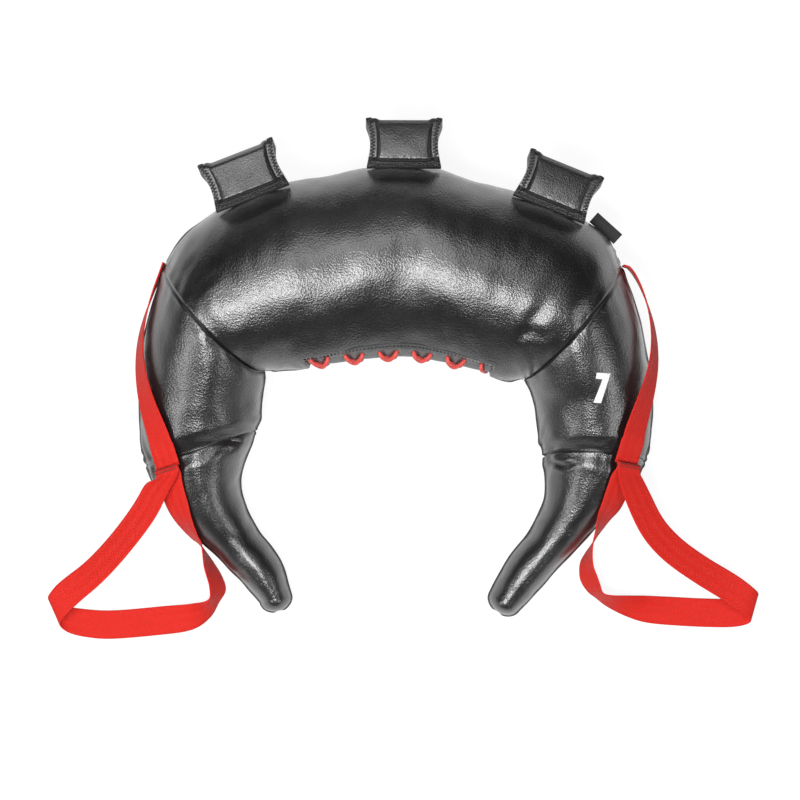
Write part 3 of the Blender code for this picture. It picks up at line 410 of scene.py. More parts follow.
def swell_leather(places, columns, held, pressure, slack, most, calm):
    """How far stuffing pushes the leather out between its seams. A coarse copy is blown up as cloth, with its
    ends and edge seams held, and its small creases are calmed. Gives the places, the angles and the moves."""
    angles = [2.0 * pi * step / columns for step in range(columns)]
    rest = numpy.array([ring(u, angles) for u in places])
    balloon = tube_mesh("balloon", rest)
    grip = balloon.vertex_groups.new(name="held")
    weights = numpy.zeros(rest.shape[:2])
    outer, inner = arc_from(rest, 0), arc_from(rest, columns // 2)
    for row, u in enumerate(places):
        for seam, reach in held:
            away = (section(u)[0] - section(seam)[0]).length
            weights[row] = numpy.maximum(weights[row], 1.0 - ease(away / reach))
        wide = EDGE_HOLD + (MOUTH_HOLD - EDGE_HOLD) * mouth_share(u)
        weights[row] = numpy.maximum(weights[row], 1.0 - ease(outer[row] / EDGE_HOLD))
        weights[row] = numpy.maximum(weights[row], 1.0 - ease((inner[row] - wide + EDGE_HOLD) / EDGE_HOLD))
    flat_weights = list(weights.reshape(-1)) + [1.0, 1.0]
    for index, weight in enumerate(flat_weights):
        if weight > 0.01:
            grip.add([index], float(weight), "REPLACE")
    cloth = balloon.modifiers.new("cloth", "CLOTH")
    cloth.settings.quality = 6
    cloth.settings.mass = 0.4
    cloth.settings.tension_stiffness = 18.0
    cloth.settings.compression_stiffness = 12.0
    cloth.settings.shear_stiffness = 6.0
    cloth.settings.bending_stiffness = 5.0
    cloth.settings.air_damping = 2.0
    cloth.settings.shrink_min = -slack
    cloth.settings.use_pressure = True
    cloth.settings.uniform_pressure_force = pressure
    cloth.settings.vertex_group_mass = "held"
    cloth.settings.effector_weights.gravity = 0.0
    cloth.collision_settings.use_collision = False
    scene = bpy.context.scene
    for step in range(BLOWING_STEPS):
        scene.frame_set(step + 1)
    blown = balloon.evaluated_get(bpy.context.evaluated_depsgraph_get()).to_mesh()
    values = numpy.zeros(len(blown.vertices) * 3)
    blown.vertices.foreach_get("co", values)
    moved = values.reshape(-1, 3)[: rest.shape[0] * rest.shape[1]].reshape(rest.shape) - rest
    scene.frame_set(1)
    bpy.data.objects.remove(balloon)
    length = numpy.linalg.norm(moved, axis=2, keepdims=True)
    moved *= most * numpy.tanh(length / most) / numpy.maximum(length, 1e-9)
    for _ in range(calm):
        beside = numpy.roll(moved, 1, axis=1) + numpy.roll(moved, -1, axis=1)
        ends = numpy.concatenate([moved[:1], moved[:-1]]) + numpy.concatenate([moved[1:], moved[-1:]])
        moved = moved / 3.0 + (beside + ends) / 6.0
    return places, angles, moved


def moves_at(swelling, places, angles):
    """The coarse grid of moves, read smoothly at finer places and angles."""
    coarse_places, coarse_angles, moves = swelling
    rows = numpy.interp(places, coarse_places, range(len(coarse_places)))
    count = len(coarse_angles)
    turns = (numpy.asarray(angles) / (2.0 * pi) * count) % count

    def read(grid, positions, axis, closed):
        low = numpy.floor(positions).astype(int)
        share = positions - low
        size = grid.shape[axis]
        total = 0.0
        weights = (
            -0.5 * share + share**2 - 0.5 * share**3,
            1.0 - 2.5 * share**2 + 1.5 * share**3,
            0.5 * share + 2.0 * share**2 - 1.5 * share**3,
            -0.5 * share**2 + 0.5 * share**3,
        )
        for step, weight in zip((-1, 0, 1, 2), weights):
            index = (low + step) % size if closed else numpy.clip(low + step, 0, size - 1)
            shape = [1, 1, 1]
            shape[axis] = len(positions)
            total = total + numpy.take(grid, index, axis=axis) * weight.reshape(shape)
        return total

    return read(read(moves, rows, 0, False), turns, 1, True)


def arc_from(points, column):
    """Length along each ring from one column, the short way round."""
    steps = numpy.linalg.norm(numpy.roll(points, -1, axis=1) - points, axis=2)
    lengths = numpy.concatenate([numpy.zeros((len(points), 1)), numpy.cumsum(steps, axis=1)], axis=1)
    whole = lengths[:, -1:]
    away = numpy.abs(lengths[:, :-1] - lengths[:, column : column + 1])
    return numpy.minimum(away, whole - away)


def lengths_along(points):
    """Length from the start of a line of points to each of them."""
    return numpy.concatenate([[0.0], numpy.cumsum(numpy.linalg.norm(numpy.diff(points, axis=0), axis=1))])


CROWD_REACH = 0.12
CROWD_COUNT = 16


def crowded(first, last, count, seams):
    """Even places along the crescent, with closer ones beside the seams."""
    places = even(first, last, count)
    for seam in seams:
        near = [seam + CROWD_REACH * (2.0 * step / CROWD_COUNT - 1.0) for step in range(CROWD_COUNT + 1)]
        places = [u for u in places if abs(u - seam) > CROWD_REACH + 0.01]
        places += [u for u in near if first <= u <= last]
    return sorted(places)


def ripples(places, seed, length):
    """Smooth ups and downs between -1 and 1 along a line, never twice the same."""
    draws = numpy.random.default_rng(seed).uniform(-1.0, 1.0, 512)
    place = numpy.asarray(places) / length
    low = numpy.floor(place).astype(int)
    share = ease(place - low)
    return draws[low % 512] * (1.0 - share) + draws[(low + 1) % 512] * share


def fold(points, line, depth, width):
    """A fold along a line on the front: the leather sinks on the line and stands up a little on both sides."""
    flat = points[..., :2]
    nearest = numpy.full(flat.shape[:2], 1.0)
    ends = numpy.zeros(flat.shape[:2])
    for number, (start, end) in enumerate(zip(line, line[1:])):
        start, step = numpy.array(start), numpy.array(end) - numpy.array(start)
        share = numpy.clip(((flat - start) @ step) / (step @ step), 0.0, 1.0)
        away = numpy.linalg.norm(flat - start - share[..., None] * step, axis=2)
        whole = (number + share) / (len(line) - 1)
        ends = numpy.where(away < nearest, 4.0 * whole * (1.0 - whole), ends)
        nearest = numpy.minimum(nearest, away)
    scaled = (nearest / width) ** 2
    return -depth * (1.0 - scaled) * numpy.exp(-scaled / 1.5) * ends


def dents(points, seed, broad, fine):
    """The uneven firmness of the stuffing, as soft hollows and lumps."""
    shift = Vector((seed * 7.3, seed * 3.1, seed * 1.7))
    moves = []
    for x, y, z in points.reshape(-1, 3):
        wide = noise.noise(Vector((x * 1.4, y, z)) * HOLLOWS_PER_METRE + shift)
        close = noise.noise(Vector((x * 1.24, y, z)) * LUMPS_PER_METRE + shift)
        moves.append(broad * wide + fine * close)
    return numpy.array(moves).reshape(points.shape[:2])


FLANGE_RISE = 0.0015
FLANGE_WIDTH = 0.0011
FLANGE_GROOVE = 0.0003
SEAM_GROOVE_DEPTH = 0.0022
SEAM_GROOVE_WIDTH = 0.0014
DENT_DEPTH = 0.0016
DIMPLE_DEPTH = 0.0006
HOLLOWS_PER_METRE = 15.0
LUMPS_PER_METRE = 50.0
PLEAT_LENGTH = 0.0085
PLEAT_REACH = 0.016
EDGE_PLEAT_DEPTH = 0.0006
SEAM_PLEAT_START = 0.006
EDGE_PLEAT_START = 0.008
EDGE_CROWDING = 0.62
RIDGE_SINKS_AT = 9.0
RIDGE_SINKS_OVER = 0.4
RIDGE_SUNK = 0.85


def leather_tube(name, places, columns, swelling, seams, folds=(), recess=None, seed=1):
    """The visible skin of one stretch of the bag: swollen between its seams, with the ridge where its panels
    are sewn, the grooves of the cross seams, the pleats that seams gather and the folds of the front."""
    angles = round_angles(columns, EDGE_CROWDING)
    base = numpy.array([ring(u, angles) for u in places])
    points = base + moves_at(swelling, places, angles)
    normals = square_to(points)
    outer, inner = arc_from(base, 0), arc_from(base, columns // 2)
    steps = numpy.linalg.norm(numpy.roll(base, -1, axis=1) - base, axis=2)
    around = numpy.cumsum(steps, axis=1)
    middles = base.mean(axis=1)
    onward = lengths_along(middles)[:, None]
    calm = numpy.ones(points.shape[:2])
    if recess is not None:
        calm = 1.0 - recess(places, inner) / MOUTH_RECESS
    move = dents(base, seed, DENT_DEPTH, DIMPLE_DEPTH) * calm
    for number, (seam, gathered) in enumerate(seams):
        away = numpy.array([(section(u)[0] - section(seam)[0]).length for u in places])[:, None]
        move -= SEAM_GROOVE_DEPTH * numpy.exp(-((away / SEAM_GROOVE_WIDTH) ** 2))
        pleat = ripples(around + away * 0.4, seed + number, PLEAT_LENGTH)
        move += gathered * pleat * numpy.exp(-away / PLEAT_REACH) * ease(away / SEAM_PLEAT_START)
    in_body = numpy.array([LEFT_SEAM < u < RIGHT_SEAM for u in places])
    sunk = [RIDGE_SUNK * ease((u - RIDGE_SINKS_AT) / RIDGE_SINKS_OVER) for u in places] * in_body
    closed = [mouth_share(u) for u in places] * in_body
    for number, (away, flattened) in enumerate(((outer, sunk), (inner, closed))):
        share = 1.0 - flattened[:, None]
        pleat = EDGE_PLEAT_DEPTH * ripples(onward + away * 0.3, seed + 10 + number, PLEAT_LENGTH)
        move += pleat * numpy.exp(-away / PLEAT_REACH) * ease(away / EDGE_PLEAT_START) * calm
        move += share * FLANGE_RISE * numpy.exp(-((away / FLANGE_WIDTH) ** 2))
        beside = (away - 3.2 * FLANGE_WIDTH) / (1.5 * FLANGE_WIDTH)
        move -= share * FLANGE_GROOVE * numpy.exp(-(beside**2))
    front = (numpy.sin(angles) > 0.0)[None, :]
    for line, depth, width in folds:
        move += fold(base, line, depth, width) * front
    if recess is not None:
        move -= recess(places, inner)
    tip = numpy.array([section(u)[6] for u in places])[:, None]
    points = points + normals * (move * ease(tip * 2.5))[..., None]
    points[..., 2] = numpy.maximum(points[..., 2], 0.0)
    return clean(tube_mesh(name, points), 180.0)


LEATHER_BLACK = (0.0045, 0.0045, 0.0048)
LEATHER_RUBBED = (0.0100, 0.0100, 0.0106)
GRAIN_CELLS = 520.0
GRAIN_PORES = 1100.0
GRAIN_CREASES = (230.0, 560.0, 500.0)


def leather_finish(name, grain, gloss, painted_brightening=1.0):
    """Black cowhide: a pebbled grain with fine creases under a satin topcoat, and greyer where it is worn.
    A brightening factor above 1 raises the whole colour: painted light, for lit copies of the leather.
    """
    finish = Finish(
        name, Specular_IOR_Level=1.0, Coat_Weight=0.6, Coat_Roughness=gloss - 0.03, Sheen_Weight=0.05,
        Sheen_Roughness=0.5,
    )
    place = finish.add("TexCoord").outputs["Object"]
    cells = finish.add("TexVoronoi", place, feature="SMOOTH_F1", Scale=GRAIN_CELLS / grain, Smoothness=0.30)
    pores = finish.noise(GRAIN_PORES / grain, 3.0, place, Roughness=0.6)
    stretched = finish.add("Mapping", place, Scale=[size / grain for size in GRAIN_CREASES])
    creases = finish.noise(1.0, 3.0, stretched.outputs["Vector"], Roughness=0.55, Distortion=0.6)
    patches = finish.noise(24.0, 2.0, place, Roughness=0.5)
    pebble = finish.maths("MULTIPLY_ADD", pores, 0.5, cells.outputs["Distance"])
    pebbled = finish.bump(pebble, strength=0.46, distance=0.00042)
    relief = finish.bump(creases, strength=0.28, distance=0.0007, under=pebbled)
    finish.join(relief, finish.shader["Coat Normal"])
    # Above 1, the brightening factor paints light into both colours.
    black, rubbed = ([part * painted_brightening for part in colour] for colour in (LEATHER_BLACK, LEATHER_RUBBED))
    finish.colours(patches, black, rubbed, 0.30, 0.75)
    rubbed_off = {"To_Min": gloss - 0.02, "To_Max": gloss + 0.04}
    rough = finish.add("MapRange", patches, From_Min=0.25, From_Max=0.80, **rubbed_off)
    finish.join(rough.outputs["Result"], finish.shader["Roughness"])
    return finish.material


leather = leather_finish("black_leather", grain=1.0, gloss=0.30)

# The body: the broad front and back panels of black cowhide, sewn together along the outer arc and stuffed
# with wool round the sand. At the mouth they lie back to make room for the lace.
MOUTH_RECESS = 0.0088
MOUTH_REACH = 0.0150
RECESS_LEAD = 0.12
RECESS_SLOPE = 0.007
BODY_CLOTH_ROWS, BODY_CLOTH_COLUMNS = 116, 84
BODY_ROWS, BODY_COLUMNS = 240, 176
BODY_GATHERS = (0.0012, 0.0014)


def mouth_recess(places, inner):
    """The leather behind the facings lies deeper, as the tongue does on the real bag."""
    from_ends = numpy.minimum(numpy.array(places) - MOUTH_START, MOUTH_END - numpy.array(places))
    share = ease(from_ends / RECESS_LEAD - 1.1)[:, None]
    return share * MOUTH_RECESS * (1.0 - ease((inner - MOUTH_REACH) / RECESS_SLOPE))


body_swelling = swell_leather(
    even(LEFT_SEAM, RIGHT_SEAM, BODY_CLOTH_ROWS), BODY_CLOTH_COLUMNS, [(LEFT_SEAM, 0.012), (RIGHT_SEAM, 0.012)],
    pressure=1.9, slack=0.004, most=0.0035, calm=14,
)
# Each fold has its line on the front, its depth and its width.
body_folds = [
    ([(0.112, 0.043), (0.129, 0.048), (0.150, 0.041)], 0.0016, 0.0060),
    ([(0.116, 0.046), (0.131, 0.062), (0.150, 0.082)], 0.0013, 0.0085),
    ([(-0.212, 0.083), (-0.200, 0.097), (-0.183, 0.110)], 0.0012, 0.0040),
]
body = leather_tube(
    "body_leather", crowded(LEFT_SEAM, RIGHT_SEAM, BODY_ROWS, (LEFT_SEAM, RIGHT_SEAM)), BODY_COLUMNS,
    body_swelling, ((LEFT_SEAM, BODY_GATHERS[0]), (RIGHT_SEAM, BODY_GATHERS[1])), body_folds, mouth_recess, 1,
)
body.data.materials.append(leather)
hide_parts("body_front_panel", "body_back_panel", "body_wadding", "sand_sleeve", "mouth_tongue")
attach(body, "bag")

# The arms and the horns: narrower panel pairs of the same cowhide, sewn on at the body seams and drawn in hard
# at the neck seams, where the grip begins. Each is one skin from its tip to the body seam, and the grip flexes
# at the neck.
NECK_GATHER, ARM_GATHER = 0.0022, 0.0012
LIMB_CLOTH_ROWS, LIMB_CLOTH_COLUMNS = 92, 60
LIMB_ROWS, LIMB_COLUMNS = 230, 132
limb_folds = {
    "left": [([(-0.165, -0.064), (-0.178, -0.061), (-0.193, -0.064)], 0.0022, 0.0032)],
    "right": [([(0.152, -0.083), (0.165, -0.088), (0.176, -0.083)], 0.0022, 0.0032)],
}
for hand, first, last, neck, seam in (
    ("left", LEFT_TIP - 1, LEFT_SEAM, LEFT_NECK, LEFT_SEAM),
    ("right", RIGHT_SEAM, RIGHT_TIP + 1, RIGHT_NECK, RIGHT_SEAM),
):
    tip = first if hand == "left" else last
    swelling = swell_leather(
        even(first, last, LIMB_CLOTH_ROWS), LIMB_CLOTH_COLUMNS, [(neck, 0.010), (seam, 0.012), (tip, 0.012)],
        pressure=2.6, slack=0.020, most=0.0045, calm=2,
    )
    limb = leather_tube(
        hand + "_limb_leather", crowded(first, last, LIMB_ROWS, (neck, seam)), LIMB_COLUMNS, swelling,
        ((neck, NECK_GATHER), (seam, ARM_GATHER)), limb_folds[hand], None, 2 if hand == "left" else 3,
    )
    limb.data.materials.append(leather)
    names = [hand + "_arm_front_panel", hand + "_arm_back_panel", hand + "_arm_wadding"]
    names += [hand + "_horn_front_cover", hand + "_horn_back_cover", hand + "_horn_wadding"]
    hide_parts(*names)
    middle, _, along = section(neck)[:3]
    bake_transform(limb)

# The laced mouth, where the bag is filled: a strip of black leather folded back along each panel's edge, top
# stitched to it and punched with pairs of holes for the lace.
FACING_WIDTH = 0.024
FACING_LEATHER = 0.0016
FACING_LIFT = (-0.0052, -0.0002)
FACING_EDGE_LIFT = 0.0003
FACING_EDGE_DEPTH = 0.0016
MOUTH_HALF_SLIT = 0.003
LACE_RADIUS = 0.0021
LACE_CLEARANCE = 0.0003
LACE_HOLE_CLEARANCE = 0.0006
LACE_OFFSET = (0.0160, 0.0105)
LACE_MARGIN = 0.011
LACE_END_MARGIN = 0.0169
CROSS_COUNT = 5
CROSS_WIDTH_SHARE = 0.5
FACING_STEPS = 190
FACING_SLOPE = 0.016
FACING_ROUNDING = 0.0012
HOLE_PULL = 0.0007
HOLE_PULL_ALONG = 0.0042
HOLE_PULL_ACROSS = 0.006


def lengths_from_mouth(u, side):
    """Lengths on the leather from the inner seam, and the angles that they belong to."""
    angles = numpy.linspace(0.0, 1.2, 49)
    points = ring(u, pi - side * angles)
    return lengths_along(points), pi - side * angles


def mouth_point(length, distance, lift):
    """A point by its length along the mouth, its distance from the slit (front positive) and its lift."""
    u = float(numpy.interp(length, *mouth_table))
    lengths, angles = lengths_from_mouth(u, 1.0 if distance >= 0.0 else -1.0)
    phi = float(numpy.interp(abs(distance), lengths, angles))
    return skin(u, phi) + outward(u, phi) * lift


def toward_middle(length, ends_and_middle):
    """A value that differs between the mouth's ends and its middle."""
    end, middle = ends_and_middle
    return end + (middle - end) * max(sin(pi * length / mouth_length), 0.0)


mouth_places = even(MOUTH_START - 0.5, MOUTH_END + 0.5, 240)
mouth_line = numpy.array([ring(u, [pi])[0] for u in mouth_places])
mouth_lengths = lengths_along(mouth_line)
mouth_lengths -= numpy.interp(MOUTH_START, mouth_places, mouth_lengths)
mouth_table = (mouth_lengths, mouth_places)
mouth_length = float(numpy.interp(MOUTH_END, mouth_places, mouth_lengths))
lace_pitch = (mouth_length - LACE_MARGIN - LACE_END_MARGIN) / CROSS_COUNT
lace_cross = lace_pitch * CROSS_WIDTH_SHARE
lace_starts = [LACE_MARGIN + lace_pitch * number for number in range(CROSS_COUNT)]
lace_last = LACE_MARGIN + lace_pitch * CROSS_COUNT
lace_pairs = [place for start in lace_starts for place in (start, start + lace_cross)]
front_holes = lace_pairs + [lace_last]
back_holes = lace_pairs + [lace_last + lace_cross / 2.0]

BEAD_SIDES = 6
BEAD_RINGS = ((0.0, 0.35), (0.14, 0.85), (0.5, 1.0), (0.86, 0.85), (1.0, 0.35))


def thread_row(name, stitches, radius, finish, body):
    """Short lengths of thread, each a rounded bead from one place to the next."""
    vertices, faces = [], []
    for start, end, normal in stitches:
        along = (end - start).normalized()
        side = along.cross(normal).normalized()
        up = side.cross(along)
        first = len(vertices)
        for share, size in BEAD_RINGS:
            middle = start.lerp(end, share) + up * (radius * 0.5 * size)
            for turn in even(0.0, 2.0 * pi, BEAD_SIDES)[:-1]:
                vertices.append(middle + (side * cos(turn) + up * sin(turn)) * (radius * size))
        for row in range(len(BEAD_RINGS) - 1):
            for step in range(BEAD_SIDES):
                low = first + row * BEAD_SIDES + step
                beside = first + row * BEAD_SIDES + (step + 1) % BEAD_SIDES
                faces.append((low, beside, beside + BEAD_SIDES, low + BEAD_SIDES))
        faces.append(list(range(first + BEAD_SIDES - 1, first - 1, -1)))
        faces.append(list(range(len(vertices) - BEAD_SIDES, len(vertices))))
    mesh = bpy.data.meshes.new(name)
    mesh.from_pydata(vertices, [], faces)
    piece = clean(new_object(name, mesh), 180.0)
    mesh.materials.append(finish)
    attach(piece, body)


def thread_finish(name, colour, roughness):
    """Bonded nylon thread: plied, with a slight shine."""
    finish = Finish(name, Base_Color=(*colour, 1.0), Roughness=roughness)
    finish.bump(finish.noise(2600.0, 2.0), strength=0.5, distance=0.0002)
    return finish.material


def apply_modifier(piece, kind, **settings):
    """Changes a piece's mesh by one modifier."""
    modifier = piece.modifiers.new(kind, kind)
    for name, value in settings.items():
        setattr(modifier, name, value)
    bpy.context.view_layer.objects.active = piece
    piece.select_set(True)
    bpy.ops.object.modifier_apply(modifier=modifier.name)
    piece.select_set(False)


black_thread = thread_finish("black_thread", (0.010, 0.010, 0.011), roughness=0.42)
# The facings take the same cowhide with its colour raised six times: painted light, for the lit grey band that
# their steep faces show.
facing_leather = leather_finish("facing_leather", grain=0.9, gloss=0.36, painted_brightening=6.0)

for name, side, holes in (("mouth_front_facing", 1.0, front_holes), ("mouth_back_facing", -1.0, back_holes)):
    distances = numpy.linspace(MOUTH_HALF_SLIT + FACING_ROUNDING / 2.0, FACING_WIDTH, 17)
    distances = numpy.concatenate([[MOUTH_HALF_SLIT], distances])
    tops, bottoms = [], []
    for length in numpy.linspace(LACE_MARGIN / 2.0, mouth_length - LACE_MARGIN / 2.0, FACING_STEPS):
        u = float(numpy.interp(length, *mouth_table))
        known, angles = lengths_from_mouth(u, side)
        turns = numpy.interp(distances, known, angles)
        points = ring(u, turns)
        normals = numpy.array([outward(u, turn) for turn in turns])
        share = ease((distances - FACING_SLOPE) / (FACING_WIDTH - FACING_SLOPE))[:, None]
        rounded = ease((distances - MOUTH_HALF_SLIT) / FACING_ROUNDING + 0.5)[:, None]
        thick = FACING_LEATHER * (0.55 + 0.45 * rounded)
        lift, offset = toward_middle(length, FACING_LIFT), toward_middle(length, LACE_OFFSET)
        pull = HOLE_PULL * sum(numpy.exp(-(((length - hole) / HOLE_PULL_ALONG) ** 2)) for hole in holes)
        sag = pull * numpy.exp(-(((distances - offset) / HOLE_PULL_ACROSS) ** 2))[:, None]
        top = blend(lift + thick, FACING_EDGE_LIFT, share) - sag
        bottom = blend(lift, FACING_EDGE_LIFT - FACING_EDGE_DEPTH, share) - sag
        tops.append(points + normals * top)
        bottoms.append(points + normals * bottom)
    rings = numpy.concatenate([numpy.array(tops), numpy.array(bottoms)[:, ::-1]], axis=1)
    facing = clean(tube_mesh(name + "_leather", rings), 50.0)
    punch = bmesh.new()
    for length in holes:
        lift, offset = toward_middle(length, FACING_LIFT), toward_middle(length, LACE_OFFSET)
        middle = mouth_point(length, side * offset, lift + FACING_LEATHER / 2.0)
        above = mouth_point(length, side * offset, lift + FACING_LEATHER)
        turn = (above - middle).to_track_quat("Z", "Y").to_matrix().to_4x4()
        radius = LACE_RADIUS + LACE_HOLE_CLEARANCE
        bmesh.ops.create_cone(
            punch, cap_ends=True, segments=20, radius1=radius, radius2=radius,
            depth=FACING_LEATHER * 6.0, matrix=Matrix.Translation(middle) @ turn,
        )
    punch_mesh = bpy.data.meshes.new("hole_punch")
    punch.to_mesh(punch_mesh)
    punch.free()
    hole_punch = new_object("hole_punch", punch_mesh)
    apply_modifier(facing, "BOOLEAN", operation="DIFFERENCE", solver="EXACT", object=hole_punch)
    bpy.data.objects.remove(hole_punch)
    clean(facing, 50.0)
    facing.data.materials.clear()
    facing.data.materials.append(facing_leather)
    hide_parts(name)
    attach(facing, "bag")

# The top stitching of the facings: one row of black nylon thread along each strip, which sews it to its panel,
# and a short row across each of its ends.
STITCH_RADIUS = 0.00042
TOP_STITCH, TOP_STITCH_PITCH = 0.0026, 0.0036
END_STITCH, END_STITCH_PITCH = 0.0024, 0.0034
TOP_ROW_DISTANCE = 0.0212
TOP_ROW_LIFT = 0.0007
END_ROW_MARGIN = 0.0015
END_ROW = (0.0045, 0.0195)
END_SLOPE, END_SLOPE_WIDTH = 0.015, 0.009
stitches = []
row_start, row_end = LACE_MARGIN / 2.0, mouth_length - LACE_MARGIN / 2.0


def stitch_on_facing(first, last, turn):
    """A stitch between two places on a facing, with the leather's normal a little turn in from the slit."""
    normal = outward(float(numpy.interp(first[0], *mouth_table)), turn)
    stitches.append((mouth_point(*first), mouth_point(*last), normal))


for side in (1.0, -1.0):
    for place in numpy.arange(row_start + 0.001, row_end - 0.003, TOP_STITCH_PITCH):
        ends = [(length, side * TOP_ROW_DISTANCE, TOP_ROW_LIFT) for length in (place, place + TOP_STITCH)]
        stitch_on_facing(*ends, pi - side * 0.5)
    for length in (row_start + END_ROW_MARGIN, row_end - END_ROW_MARGIN):
        for distance in numpy.arange(*END_ROW, END_STITCH_PITCH):
            ends = []
            for away in (distance, distance + END_STITCH):
                share = ease((away - END_SLOPE) / END_SLOPE_WIDTH)
                lift = blend(FACING_LIFT[0] + FACING_LEATHER, FACING_EDGE_LIFT, share)
                ends.append((length, side * away, lift))
            stitch_on_facing(*ends, pi - side * 0.4)
thread_row("mouth_stitches", stitches, STITCH_RADIUS, black_thread, "bag")

# The lace: one red polyester cord, braided from sixteen strands. It runs in and out of the punched holes in
# five crosses and a last single stroke, and draws the mouth shut.
LACE_SPREAD = 0.72
LACE_STEP = 0.16
LACE_DIP = 0.0030
LACE_PRESS = 0.65
BRAID_STRANDS = 8
BRAID_PITCH = 0.0078
BRAID_RELIEF = 0.16
CORD_SIDES = 18
CORD_STEP = 0.00042


def lace_route():
    """Out of a front hole, across to the back, along inside, out again and over the first stroke."""
    inside = -LACE_CLEARANCE - LACE_RADIUS
    outside = FACING_LEATHER + LACE_CLEARANCE + LACE_RADIUS
    under = outside - LACE_DIP
    over = under + 2.0 * LACE_RADIUS * LACE_PRESS + LACE_CLEARANCE
    middle = (inside + outside) / 2.0
    turn = 1.2 * LACE_RADIUS
    places = []

    def add_place(length, side, spread, height):
        lift = toward_middle(length, FACING_LIFT)
        places.append((length, side * spread * toward_middle(length, LACE_OFFSET), lift + height))

    def stroke(start, end, side, crest):
        step = (end - start) * LACE_STEP
        add_place(start, side, 1.0, inside)
        add_place(start, side, 1.0, middle)
        add_place(start + step, side, LACE_SPREAD, outside)
        add_place((start + end) / 2.0, side, 0.0, crest)
        add_place(end - step, -side, LACE_SPREAD, outside)
        add_place(end, -side, 1.0, middle)
        add_place(end, -side, 1.0, inside)

    add_place(front_holes[0] - 2.4 * turn, 1.0, 1.0, inside)
    add_place(front_holes[0] - turn, 1.0, 1.0, inside)
    for number in range(CROSS_COUNT):
        left, right = front_holes[2 * number], front_holes[2 * number + 1]
        stroke(left, right, 1.0, under)
        add_place(right - turn, -1.0, 1.0, inside)
        add_place(left + turn, -1.0, 1.0, inside)
        stroke(left, right, -1.0, over)
        add_place(right + turn, 1.0, 1.0, inside)
        add_place(front_holes[2 * number + 2] - turn, 1.0, 1.0, inside)
    stroke(front_holes[-1], back_holes[-1], 1.0, under)
    add_place(back_holes[-1] + turn, -1.0, 1.0, inside)
    add_place(back_holes[-1] + 2.4 * turn, -1.0, 1.0, inside)
    return [mouth_point(*place) for place in places]


def carried_frames(route):
    """A route with two directions square to it, carried along it without twist."""
    route = numpy.array(route)
    heads = numpy.gradient(route, axis=0)
    heads /= numpy.linalg.norm(heads, axis=1, keepdims=True)
    side = Vector(heads[0]).orthogonal().normalized()
    sides = []
    for head in heads:
        head = Vector(head)
        side = (side - head * side.dot(head)).normalized()
        sides.append(tuple(side))
    sides = numpy.array(sides)
    return route, sides, numpy.cross(heads, sides)


cord_route, sides, ups = carried_frames(smooth_route(lace_route(), 9))
cord_lengths = lengths_along(cord_route)
even_lengths = numpy.arange(0.0, cord_lengths[-1], CORD_STEP)
middles, sides, ups = [
    numpy.stack([numpy.interp(even_lengths, cord_lengths, axis) for axis in grid.T], axis=1)[:, None]
    for grid in (cord_route, sides, ups)
]
turns = 2.0 * pi * numpy.arange(CORD_SIDES) / CORD_SIDES
twist = even_lengths[:, None] / BRAID_PITCH * 2.0 * pi
slants = [numpy.abs(numpy.cos(turns * BRAID_STRANDS / 4.0 + hand * twist)) for hand in (1.0, -1.0)]
radii = LACE_RADIUS * (1.0 - BRAID_RELIEF * (1.0 - numpy.maximum(*slants)))[..., None]
around = sides * numpy.cos(turns)[:, None] + ups * numpy.sin(turns)[:, None]
lace = clean(tube_mesh("lace_cord", middles + around * radii), 180.0)
finish = Finish("red_cord", Roughness=0.48, Sheen_Weight=0.25)
fibres = finish.noise(2400.0, 3.0)
finish.bump(fibres, strength=0.6, distance=0.00025)
finish.colours(fibres, (0.60, 0.026, 0.020), (0.95, 0.110, 0.085))
lace.data.materials.append(finish.material)
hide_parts("lace")
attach(lace, "bag")

# The side straps: red polypropylene webbing in a zigzag twill. Each is sewn into the body seam and at the
# neck, and is slack between the two.
WEBBING_WIDTH = 0.030
WEBBING_THICKNESS = 0.0016
WEBBING_REST = 0.0004
STRAP_LIFT = 0.0028
STRAP_SEAM_LIFT = 0.0015
strap_slack = {"left": (0.0025, 0.5), "right": (0.0110, 0.22)}
STRAP_OVERLAP = 0.0035
LAYER_CLEARANCE = 0.0009
BAR_ANGLE = radians(55.0)
BAR_DROP = 0.15
TWILL_PITCH = 0.0023
TWILL_ZIGZAG = 0.0050
WEFT_PITCH = 0.00125
WEBBING_DARK = (0.52, 0.0110, 0.0060)
WEBBING_BRIGHT = (0.84, 0.0240, 0.0130)


def webbing_finish(name):
    """Twill webbing: zigzag ribs across the band, a weft under them, and a heathered red that is
    darker in the weave's grooves as painted shade.
    """
    finish = Finish(name, Roughness=0.58, Specular_IOR_Level=0.25, Sheen_Weight=0.06, Sheen_Roughness=0.4)
    lay = finish.add("UVMap", uv_map="weave")
    parts = finish.add("SeparateXYZ", lay.outputs["UV"]).outputs
    zigzag = finish.maths("PINGPONG", parts["X"], TWILL_ZIGZAG)
    slanted = finish.maths("ADD", zigzag, parts["Y"])
    ribs = finish.maths("SINE", finish.maths("MULTIPLY", slanted, 2.0 * pi / TWILL_PITCH))
    weft = finish.maths("SINE", finish.maths("MULTIPLY", parts["X"], 2.0 * pi / WEFT_PITCH))
    weave = finish.maths("MULTIPLY_ADD", weft, 0.45, ribs)
    height = finish.maths("MULTIPLY_ADD", finish.noise(1500.0, 3.0, Roughness=0.6), 0.9, weave)
    finish.bump(height, strength=0.55, distance=0.00030)
    # The colour follows the weave's height: darker in its grooves as painted shade, and heathered at random by
    # the noise.
    weave_shade_and_heather = finish.add("MapRange", height, From_Min=-1.3, From_Max=1.6)
    finish.colours(weave_shade_and_heather.outputs["Result"], WEBBING_DARK, WEBBING_BRIGHT)
    return finish.material


